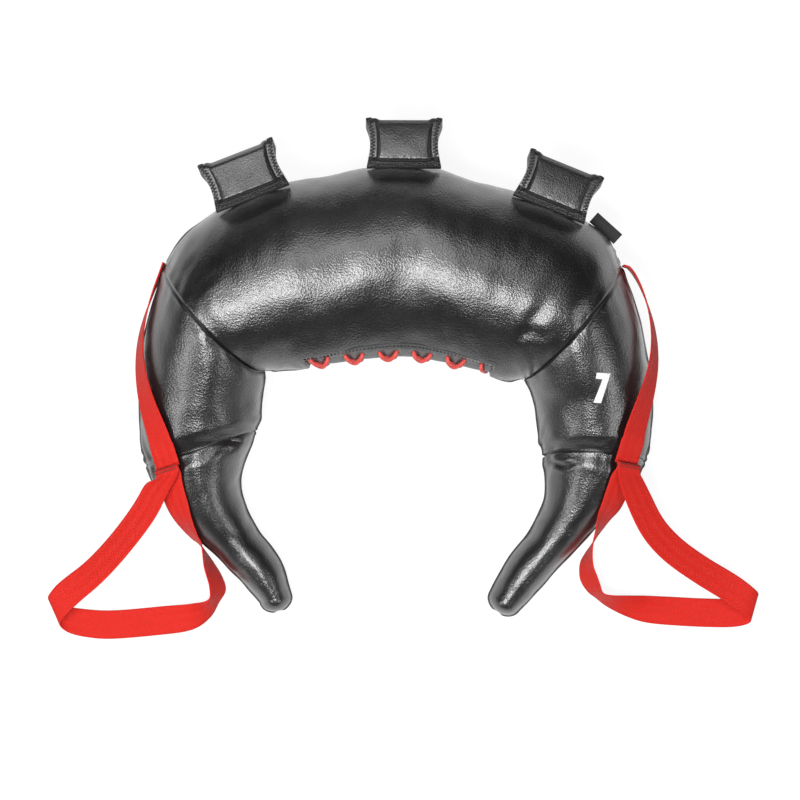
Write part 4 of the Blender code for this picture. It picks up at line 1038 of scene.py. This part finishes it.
def band(name, middles, widths):
    """Flat webbing with rounded edges along a route. Each row lies across it, in its width's direction."""
    half, thick = WEBBING_WIDTH / 2.0, WEBBING_THICKNESS / 2.0
    profile = []
    for side in (1.0, -1.0):
        profile += [(side * x * (half - thick), side * thick) for x in numpy.linspace(-1.0, 1.0, 15)]
        for turn in (0.7, 0.0, -0.7):
            profile.append((side * (half - thick + thick * cos(turn)), side * thick * sin(turn)))
    profile = numpy.array(profile)
    route = numpy.array(middles)
    across = numpy.array([width.normalized() for width in widths])
    normals = numpy.cross(numpy.gradient(route, axis=0), across)
    normals /= numpy.linalg.norm(normals, axis=1, keepdims=True)
    for row in range(1, len(normals)):
        if normals[row] @ normals[row - 1] < 0.0:
            normals[row] *= -1.0
    points = route[:, None] + across[:, None] * profile[:, :1] + normals[:, None] * profile[:, 1:]
    marks = numpy.empty(points.shape[:2] + (2,))
    marks[..., 0] = profile[:, 0] + half
    marks[..., 1] = lengths_along(route)[:, None]
    return clean(tube_mesh(name, points, marks), 70.0)


def bar_frame(neck):
    """Middle of the stitched bar at the neck, its direction from inner to outer and the leather's normal."""
    u = neck + BAR_DROP * (1.0 if neck == RIGHT_NECK else -1.0)
    width = (skin(neck, BAR_ANGLE - 0.1) - skin(neck, BAR_ANGLE + 0.1)).normalized()
    return skin(u, BAR_ANGLE), width, outward(neck, BAR_ANGLE)


webbing = webbing_finish("red_webbing")
for hand, seam, neck in (("left", LEFT_SEAM, LEFT_NECK), ("right", RIGHT_SEAM, RIGHT_NECK)):
    middles, widths = [], []
    bar, width, normal = bar_frame(neck)
    for share in even(0.0, 0.9, 72):
        u = blend(seam, neck, share)
        phi = BAR_ANGLE * float(ease(share))
        slack, crest = strap_slack[hand]
        lift = blend(STRAP_SEAM_LIFT, STRAP_LIFT, share) + slack * sin(pi * share ** (log(0.5) / log(crest)))
        middles.append(over_skin(u, phi, lift))
        widths.append(skin(u, phi - 0.1) - skin(u, phi + 0.1))
    bend = [middles[-7], middles[-1], bar + normal * STRAP_LIFT]
    bend.append(bend[-1] + (bend[-1] - bend[-2]).normalized() * STRAP_OVERLAP)
    turned = [widths[-7], widths[-1], width, width]
    for step in (1, 2):
        for share in even(0.0, 1.0, 8)[1:]:
            middles.append(through(bend, step, share))
            widths.append(through(turned, step, share))
    strap = band(hand + "_side_webbing", middles, widths)
    strap.data.materials.append(webbing)
    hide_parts(hand + "_side_strap")
    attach(strap, "bag")

# The hand loops: one band of the same red webbing each, with a half turn where it comes round. Both its ends
# are sewn down at the neck bar, with two rows of black thread.
LOOP_DROP = 0.170
LOOP_SET_BACK = 0.0015
LOOP_LEAD = 0.008
LOOP_CLEARANCE = 0.0022
LAY_TURNS = 8
NEAR_LEATHER = 0.03
ROUTE_STEPS = 9
TACK_ROWS = (0.0006, 0.0036)
TACK_HALF = 0.0011
TACK_SLANT = 0.0006
TACK_RADIUS = 0.00032
TACK_SPAN, TACK_COUNT = 0.46, 22
# Each row gives x and y from the bar as shares of the drop, the height as a share of the bar's, and the heading
# and the tilt of the band's width in degrees.
left_loop_shares = [
    (0.025, -0.107, 0.89, 190.0, -33.0),
    (0.063, -0.230, 0.76, 192.0, -37.0),
    (0.104, -0.336, 0.62, 196.0, -54.0),
    (0.142, -0.430, 0.49, 204.0, -70.0),
    (0.173, -0.493, 0.39, 206.0, -81.0),
    (0.195, -0.550, 0.32, 30.0, -88.0),
    (0.221, -0.624, 0.27, 22.0, -74.0),
    (0.255, -0.698, 0.26, 5.0, -64.0),
    (0.276, -0.772, 0.24, 345.0, -58.0),
    (0.254, -0.846, 0.24, 318.0, -70.0),
    (0.206, -0.904, 0.18, 292.0, -52.0),
    (0.104, -0.953, 0.07, 274.0, -20.0),
    (-0.086, -0.977, 0.00, 270.0, 0.0),
    (-0.374, -1.002, 0.00, 270.0, 0.0),
    (-0.540, -0.993, 0.00, 276.0, 0.0),
    (-0.674, -0.966, 0.04, 286.0, 0.0),
    (-0.735, -0.918, 0.12, 294.0, 0.0),
    (-0.703, -0.863, 0.20, 298.0, 2.0),
    (-0.627, -0.788, 0.24, 308.0, 12.0),
    (-0.471, -0.660, 0.32, 314.0, 22.0),
    (-0.303, -0.479, 0.49, 318.0, 25.0),
    (-0.154, -0.285, 0.72, 326.0, 25.0),
    (-0.074, -0.143, 0.91, 345.0, 30.0),
]
right_loop_shares = [
    (-0.042, -0.130, 0.91, 350.0, -35.0),
    (-0.088, -0.278, 0.73, 346.0, -44.0),
    (-0.129, -0.384, 0.58, 340.0, -65.0),
    (-0.159, -0.459, 0.47, 334.0, -79.0),
    (-0.184, -0.528, 0.38, 334.0, -88.0),
    (-0.203, -0.591, 0.31, 160.0, -79.0),
    (-0.214, -0.654, 0.27, 170.0, -65.0),
    (-0.201, -0.734, 0.26, 192.0, -56.0),
    (-0.170, -0.795, 0.24, 215.0, -62.0),
    (-0.133, -0.842, 0.24, 232.0, -73.0),
    (-0.068, -0.876, 0.20, 252.0, -62.0),
    (0.052, -0.910, 0.12, 266.0, -38.0),
    (0.172, -0.931, 0.04, 270.0, -14.0),
    (0.359, -0.945, 0.00, 270.0, 0.0),
    (0.556, -0.954, 0.00, 268.0, 0.0),
    (0.727, -0.952, 0.04, 260.0, 0.0),
    (0.822, -0.922, 0.12, 255.0, 0.0),
    (0.774, -0.870, 0.20, 250.0, 0.0),
    (0.661, -0.789, 0.24, 243.0, 6.0),
    (0.486, -0.683, 0.32, 236.0, 12.0),
    (0.309, -0.557, 0.46, 230.0, 12.0),
    (0.180, -0.419, 0.64, 222.0, 16.0),
    (0.094, -0.258, 0.81, 206.0, 24.0),
    (0.041, -0.136, 0.95, 188.0, 32.0),
]


def surface_of(piece):
    """A piece's faces, to find the nearest or the first one hit."""
    corners = [vertex.co for vertex in piece.data.vertices]
    return BVHTree.FromPolygons(corners, [face.vertices[:] for face in piece.data.polygons])


def lie_on_bag(limb, middles, widths):
    """Pushes the rows of a band off the leather and off the floor, by the clearance that it needs."""
    tree = surface_of(limb)
    laid = []
    for middle, width in zip(middles, widths):
        middle = middle.copy()
        for _ in range(LAY_TURNS):
            push, most = Vector(), 0.0
            for share in (-0.5, -0.25, 0.0, 0.25, 0.5):
                point = middle + width.normalized() * (WEBBING_WIDTH * share)
                place, normal, _, _ = tree.find_nearest(point)
                short = LOOP_CLEARANCE - (point - place).dot(normal)
                if short > most and (point - place).length < NEAR_LEATHER:
                    push, most = normal * short, short
            middle += push
            drop = abs(width.normalized().z) * WEBBING_WIDTH / 2.0
            middle.z = max(middle.z, WEBBING_REST + WEBBING_THICKNESS / 2.0 + drop)
        laid.append(middle)
    return laid


def evened(middles, turns):
    """Takes the kinks out of a laid route, with its ends kept."""
    route = numpy.array(middles)
    for _ in range(turns):
        route[1:-1] = route[1:-1] * 0.5 + (route[:-2] + route[2:]) * 0.25
    return [Vector(point) for point in route]


limbs = {hand: bpy.data.objects[hand + "_limb_leather"] for hand in ("left", "right")}
for hand, neck, shares in (("left", LEFT_NECK, left_loop_shares), ("right", RIGHT_NECK, right_loop_shares)):
    bar, width, normal = bar_frame(neck)
    layer = WEBBING_THICKNESS + LAYER_CLEARANCE
    down_horn = section(neck)[2].normalized() * (-1.0 if hand == "left" else 1.0)
    low = bar + normal * (STRAP_LIFT + layer) + down_horn * LOOP_SET_BACK
    high = low + normal * layer
    rest = WEBBING_REST + WEBBING_THICKNESS / 2.0
    middles = [low, low + down_horn * LOOP_LEAD]
    widths = [width, width]
    for x, y, z, heading, tilt in shares:
        heading, tilt = radians(heading), radians(tilt)
        middles.append(Vector((bar.x + x * LOOP_DROP, bar.y + y * LOOP_DROP, rest + z * (bar.z - rest))))
        widths.append(Vector((cos(heading) * cos(tilt), sin(heading) * cos(tilt), sin(tilt))))
    middles += [high + down_horn * LOOP_LEAD, high]
    widths += [-width, -width]
    middles, widths = smooth_route(middles, ROUTE_STEPS), smooth_route(widths, ROUTE_STEPS)
    laid = lie_on_bag(limbs[hand], middles[ROUTE_STEPS:-ROUTE_STEPS], widths[ROUTE_STEPS:-ROUTE_STEPS])
    middles = evened(middles[:ROUTE_STEPS] + laid + middles[-ROUTE_STEPS:], 6)
    loop = band(hand + "_loop_webbing", middles, widths)
    loop.data.materials.append(webbing)
    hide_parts(hand + "_hand_loop")
    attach(loop, hand + "_hand_loop")
    tacks = []
    for row in TACK_ROWS:
        for share in even(-TACK_SPAN, TACK_SPAN, TACK_COUNT):
            place = high + width * (WEBBING_WIDTH * share) + normal * (WEBBING_THICKNESS / 2.0)
            start, end = place + down_horn * (row - TACK_HALF), place + down_horn * (row + TACK_HALF)
            tacks.append((start, end + width * TACK_SLANT, normal))
    thread_row(hand + "_bar_tack", tacks, TACK_RADIUS, black_thread, hand + "_hand_loop")

# The three padded handles on the crown: a strip of black leather folded over into a loop and sewn on the front
# panel, with a foam cushion under its middle, a leather lining inside, and whip-stitched flanges that flare at
# the fold.
HANDLE_LENGTH = 0.051
HANDLE_RISE = radians(12.0)
HANDLE_HEIGHT = 0.019
HANDLE_LEATHER = 0.002
HANDLE_FOAM = 0.005
HANDLE_LINING = 0.0015
HANDLE_PLY_GAP = 0.0004
HANDLE_FLANGE = 0.0078
HANDLE_BEVEL = 0.0036
HANDLE_WALL_GAP = 0.0007
HANDLE_WAIST = 0.0034
HANDLE_EAR = 0.0012
EAR_START = 0.7
FOLD_INSET = 0.0024
PAD_START, PAD_END = 0.0082, 0.0500
PAD_CORNER = 0.004
PAD_PUFF = 0.0010
PAD_WAVES = 55.0
PAD_TURN_WAVES = 1.6
PAD_WAVE_DEPTH = 0.0006
PAD_CREASE_LENGTH = 0.0026
PAD_CREASE_SWAY = 0.006
PAD_CREASE_DEPTH = 0.00022
PAD_CREASE_PLACE, PAD_CREASE_SPREAD = 0.20, 0.09
WALL_START, WALL_END = 0.11, 0.22
NOSE_START = 0.90
FOOT_SHARE = 0.22
# Each handle's width, its place along the crescent with its angle up the front panel, and how far and how fast
# its upper face falls toward the fold.
handle_widths = {"left": 0.0795, "centre": 0.0760, "right": 0.0785}
handle_places = {"left": (10.01, 25.5), "centre": (11.89, 19.2), "right": (14.105, 25.2)}
handle_slopes = {"left": (0.55, 1.0), "centre": (0.80, 1.6), "right": (0.76, 1.6)}
TAIL_HALF = HANDLE_LEATHER + HANDLE_LINING + 1.5 * HANDLE_PLY_GAP
TAIL_PIVOT = TAIL_HALF * 1.05
ROOT_SINK = 0.55
LINING_TAIL = HANDLE_PLY_GAP / 2.0 + HANDLE_LINING
TAIL_START = TAIL_PIVOT - sqrt(max(TAIL_PIVOT**2 + LINING_TAIL**2 - TAIL_HALF**2, 0.0))
PAD_ROWS, PAD_COLUMNS = 144, 80
PAD_CROWDING = 0.25
WHIP_PITCH = 0.0017
WHIP_INSETS = (0.0004, 0.0060)
WHIP_START, WHIP_END = 0.0016, 0.0075
FOOT_PITCH = 0.0013
FOOT_ROW = (0.0008, 0.0040)
FOOT_START, FOOT_END = 0.0062, 0.0075
HANDLE_THREAD = 0.00070


def seat_frame(u, seat, reach, rise):
    """Where a piece is sewn on the leather: direction along the edge, direction away from the bag and up by
    the rise, and the one square to both."""
    point = skin(u, seat)
    edge = skin(u + reach, seat) - skin(u - reach, seat)
    edge = Vector((edge.x, edge.y, 0.0)).normalized()
    away = Vector((-edge.y * cos(rise), edge.x * cos(rise), sin(rise)))
    frame_axes = (edge, away, edge.cross(away), point)
    return Matrix([[axis[row] for axis in frame_axes] for row in range(3)] + [[0.0, 0.0, 0.0, 1.0]])


def cushion(places, out, half):
    """1 on the foam cushion, 0 on the flanges, the fold and the stitched end."""
    along = out * HANDLE_LENGTH
    aside = numpy.abs(places) - (half - PAD_CORNER)
    past = numpy.maximum(PAD_START + PAD_CORNER - along, along - PAD_END + PAD_CORNER)
    away = numpy.hypot(numpy.maximum(aside, 0.0), numpy.maximum(past, 0.0)) - PAD_CORNER
    return 1.0 - ease(away / HANDLE_BEVEL)


def handle_grid(place_on_bag, width, slope, places, depth, tail, sink, puff, seed):
    """One face of a handle's layer. Its rows run from the upper tail over the fold to the lower tail."""
    turns, places = numpy.array(handle_turns)[:, None], places[None, :]
    out = (1.0 - numpy.cos(turns)) / 2.0
    side = numpy.where(turns <= pi, 1.0, -1.0)
    inside = width / 2.0 - HANDLE_FLANGE - HANDLE_BEVEL
    padded = cushion(places, out, inside)
    depths = depth + sink * (1.0 - padded)
    if puff:
        crown = (1.0 - (places / inside) ** 2).clip(0.0, 1.0) ** 0.5
        waves = [[Vector((place * PAD_WAVES, turn * PAD_TURN_WAVES, seed * 5.0)) for place in places[0]]
                 for turn in turns[:, 0]]
        bend = numpy.array([[noise.noise(wave) for wave in row] for row in waves])
        creases = ripples(places + PAD_CREASE_SWAY * bend, int(seed * 10.0), PAD_CREASE_LENGTH)
        creases *= numpy.exp(-((out - PAD_CREASE_PLACE) / PAD_CREASE_SPREAD) ** 2)
        depths = depths - (puff * crown + PAD_WAVE_DEPTH * bend + PAD_CREASE_DEPTH * creases) * padded
    foot = FOOT_SHARE * (out / WALL_START).clip(0.0, 1.0)
    wall = foot + (1.0 - FOOT_SHARE) * ease((out - WALL_START) / (WALL_END - WALL_START))
    top = 1.0 - slope[0] * ((out - WALL_END) / (1.0 - WALL_END)).clip(0.0, 1.0) ** slope[1]
    nose = numpy.sqrt((1.0 - ((out - NOSE_START).clip(0.0, 1.0) / (1.0 - NOSE_START)) ** 2).clip(0.0, 1.0))
    rise = (tail + (HANDLE_HEIGHT - depths - tail) * wall) * top * nose
    reach = TAIL_START + (HANDLE_LENGTH - depth - FOLD_INSET * padded - TAIL_START) * out
    flare = HANDLE_EAR * ease((out - EAR_START) / (1.0 - EAR_START)) - HANDLE_WAIST * numpy.sin(pi * out)
    spread = 1.0 + 2.0 * flare / width
    grid = numpy.stack([places * spread, reach + places * 0.0, side * rise + places * 0.0], axis=2)
    return grid @ numpy.array(place_on_bag.to_3x3()).T + numpy.array(place_on_bag.translation)


def outward_grid(points):
    """Normals of an open grid of points."""
    normals = numpy.cross(numpy.gradient(points, axis=1), numpy.gradient(points, axis=0))
    return normals / numpy.maximum(numpy.linalg.norm(normals, axis=2, keepdims=True), 1e-12)


handle_turns = round_angles(PAD_ROWS, PAD_CROWDING) + [2.0 * pi]
handle_leather = leather_finish("handle_leather", grain=0.9, gloss=0.36)
glossy_thread = thread_finish("waxed_thread", (0.022, 0.022, 0.023), roughness=0.26)
for hand in ("left", "centre", "right"):
    width, slope = handle_widths[hand], handle_slopes[hand]
    u, seat = handle_places[hand]
    place_on_bag = seat_frame(u, radians(seat), 0.3, HANDLE_RISE)
    place_on_bag @= Matrix.Translation((0.0, HANDLE_WALL_GAP, 0.0))
    away, up = (numpy.array(place_on_bag.col[axis][:3]) for axis in (1, 2))
    edge = width / 2.0
    places = numpy.linspace(-edge, edge, PAD_COLUMNS + 1)

    def face(places, depth, tail, sink=0.0, puff=0.0):
        """One face of a layer, with a last row at each end, tucked back and down against the bag."""
        grid = handle_grid(place_on_bag, width, slope, places, depth, tail, sink, puff, u * 0.37)
        back, down = away * (TAIL_START + HANDLE_WALL_GAP), up * (tail * ROOT_SINK)
        return numpy.concatenate([grid[:1] - back - down, grid, grid[-1:] - back + down])

    def layer(name, above, below):
        """A closed layer of leather between two faces."""
        made = clean(tube_mesh(name, numpy.concatenate([above, below[:, ::-1]], axis=1)), 50.0)
        made.data.materials.append(handle_leather)
        return made

    lining_top = HANDLE_LEATHER + 2.5 * HANDLE_PLY_GAP + HANDLE_FOAM
    outside = face(places, 0.0, TAIL_HALF, HANDLE_FOAM + HANDLE_PLY_GAP, PAD_PUFF)
    inside = face(places, lining_top - HANDLE_PLY_GAP / 2.0, TAIL_HALF - HANDLE_LEATHER)
    pad = layer(hand + "_handle_pad", outside, inside)
    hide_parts(hand + "_handle_outer_strip", hand + "_handle_foam_pad")
    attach(pad, hand + "_handle")
    upper = face(places[::4], lining_top, LINING_TAIL)
    lower = face(places[::4], lining_top + HANDLE_LINING, HANDLE_PLY_GAP / 2.0)
    lining = layer(hand + "_handle_inside", upper, lower)
    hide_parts(hand + "_handle_lining")
    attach(lining, hand + "_handle")
    top = outside[1:-1]
    normals = outward_grid(top)
    if (normals[PAD_ROWS // 4, PAD_COLUMNS // 2] @ up) < 0.0:
        normals = -normals
    stitches = []

    def on_pad(row, place):
        """A point and its normal on the pad's outer face, read between the grid's rows and places."""
        column = (place + edge) / width * PAD_COLUMNS
        row, column = min(max(row, 0.0), PAD_ROWS - 0.001), min(max(column, 0.0), PAD_COLUMNS - 0.001)
        low_row, low_column = int(row), int(column)
        found = []
        for grid in (top, normals):
            near, far = (blend(line[low_column], line[low_column + 1], column - low_column)
                         for line in grid[low_row : low_row + 2])
            found.append(Vector(blend(near, far, row - low_row)))
        return found[0], found[1].normalized()

    top_lengths = lengths_along(top[:, 3])
    whip_lengths = numpy.arange(WHIP_START, top_lengths[-1] - WHIP_END, WHIP_PITCH)
    whip_rows = numpy.interp(whip_lengths, top_lengths, range(PAD_ROWS + 1))
    for side in (-1.0, 1.0):
        for number, (row, onward) in enumerate(zip(whip_rows, whip_rows[1:])):
            near, far = WHIP_INSETS if number % 2 == 0 else WHIP_INSETS[::-1]
            start, normal = on_pad(row, side * (edge - near))
            stitches.append((start, on_pad(onward, side * (edge - far))[0], normal))
    foot_rows = numpy.interp(FOOT_ROW, top_lengths, range(PAD_ROWS + 1))
    for number, place in enumerate(numpy.arange(-edge + FOOT_START, edge - FOOT_END, FOOT_PITCH)):
        row, onward = foot_rows if number % 2 == 0 else foot_rows[::-1]
        start, normal = on_pad(row, place)
        stitches.append((start, on_pad(onward, place + FOOT_PITCH)[0], normal))
    thread_row(hand + "_handle_stitches", stitches, HANDLE_THREAD, glossy_thread, hand + "_handle")

# The label: a bare tab of black woven polyester tape, folded double and sewn into the outer seam beside the
# right handle.
LABEL_PLACE = 15.05
LABEL_WIDTH = 0.034
LABEL_LENGTH = 0.013
LABEL_PLY = 0.0004
LABEL_FOLD = 0.0009
LABEL_WALL_GAP = -0.0006
LABEL_CURL = 0.0006
LABEL_CURL_TURN = 120.0
LABEL_MARK_STEP = 0.0012

place_on_bag = seat_frame(LABEL_PLACE, 0.0, 0.05, 0.0) @ Matrix.Translation((0.0, LABEL_WALL_GAP, 0.0))
rise = LABEL_FOLD / 2.0
flat = LABEL_LENGTH - rise
profile = [(share * flat, rise) for share in (0.0, 0.25, 0.5, 0.75)]
profile += [(flat + rise * sin(turn), rise * cos(turn)) for turn in even(0.0, pi, 10)]
profile += [(share * flat, -rise) for share in (0.75, 0.5, 0.25, 0.0)]
rings, marks = [], []
for place in numpy.linspace(-LABEL_WIDTH / 2.0, LABEL_WIDTH / 2.0, 25):
    ring_points, ring_marks = [], []
    for lift in (LABEL_PLY / 2.0, -LABEL_PLY / 2.0):
        row = []
        for number, (y, z) in enumerate(profile):
            before, after = profile[max(number - 1, 0)], profile[min(number + 1, len(profile) - 1)]
            head = Vector((after[0] - before[0], after[1] - before[1])).normalized()
            curl = LABEL_CURL * sin(place * LABEL_CURL_TURN) * (y / LABEL_LENGTH) ** 2
            row.append((place, y - head.y * lift, z + head.x * lift + curl))
        marks_row = [(place, number * LABEL_MARK_STEP) for number in range(len(row))]
        ring_points += row if lift > 0.0 else row[::-1]
        ring_marks += marks_row if lift > 0.0 else marks_row[::-1]
    rings.append([tuple(place_on_bag @ Vector(point)) for point in ring_points])
    marks.append(ring_marks)
label = clean(tube_mesh("label_tape", numpy.array(rings), numpy.array(marks)), 70.0)
finish = Finish("woven_tab", Base_Color=(0.013, 0.013, 0.014, 1.0), Roughness=0.62, Sheen_Weight=0.1)
lay = finish.add("UVMap", uv_map="weave")
weave = finish.add("TexChecker", lay.outputs["UV"], Scale=2600.0)
finish.bump(weave.outputs["Fac"], strength=0.5, distance=0.00012)
label.data.materials.append(finish.material)
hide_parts("woven_label")
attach(label, "label")

# The number on the right arm: the bag's weight in kilograms, printed on the leather in white ink and a little
# worn. It follows the leather under it.
PRINT_LIFT = 0.00015
PRINT_THICKNESS = 0.00012
PRINT_GRID = 0.0014
PRINT_CUTS = 5
ABOVE_BAG = 0.3
number_outline = [(0.1955, 0.0079), (0.2097, 0.0069), (0.2007, -0.0229), (0.1929, -0.0224), (0.2016, 0.0012),
                  (0.1946, 0.0017)]

shape = bmesh.new()
shape.faces.new([shape.verts.new((x, y, ABOVE_BAG)) for x, y in number_outline])
bmesh.ops.triangulate(shape, faces=shape.faces)
for _ in range(PRINT_CUTS):
    long_edges = [edge for edge in shape.edges if edge.calc_length() > PRINT_GRID]
    bmesh.ops.subdivide_edges(shape, edges=long_edges, cuts=1)
    bmesh.ops.triangulate(shape, faces=shape.faces)
arm = surface_of(limbs["right"])
for vertex in shape.verts:
    place, normal, _, _ = arm.ray_cast(vertex.co, Vector((0.0, 0.0, -1.0)))
    vertex.co = place + normal * PRINT_LIFT
mesh = bpy.data.meshes.new("printed_number")
shape.to_mesh(mesh)
shape.free()
number = new_object("printed_number", mesh)
apply_modifier(number, "SOLIDIFY", thickness=PRINT_THICKNESS, offset=1.0)
clean(number, 50.0)
finish = Finish("white_print", Roughness=0.45)
worn = finish.noise(700.0, 4.0, Roughness=0.7)
finish.colours(worn, (0.66, 0.66, 0.65), (0.86, 0.86, 0.85), 0.30, 0.46)
finish.bump(worn, strength=0.3, distance=0.0002)
number.data.materials.append(finish.material)
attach(number, "bag")
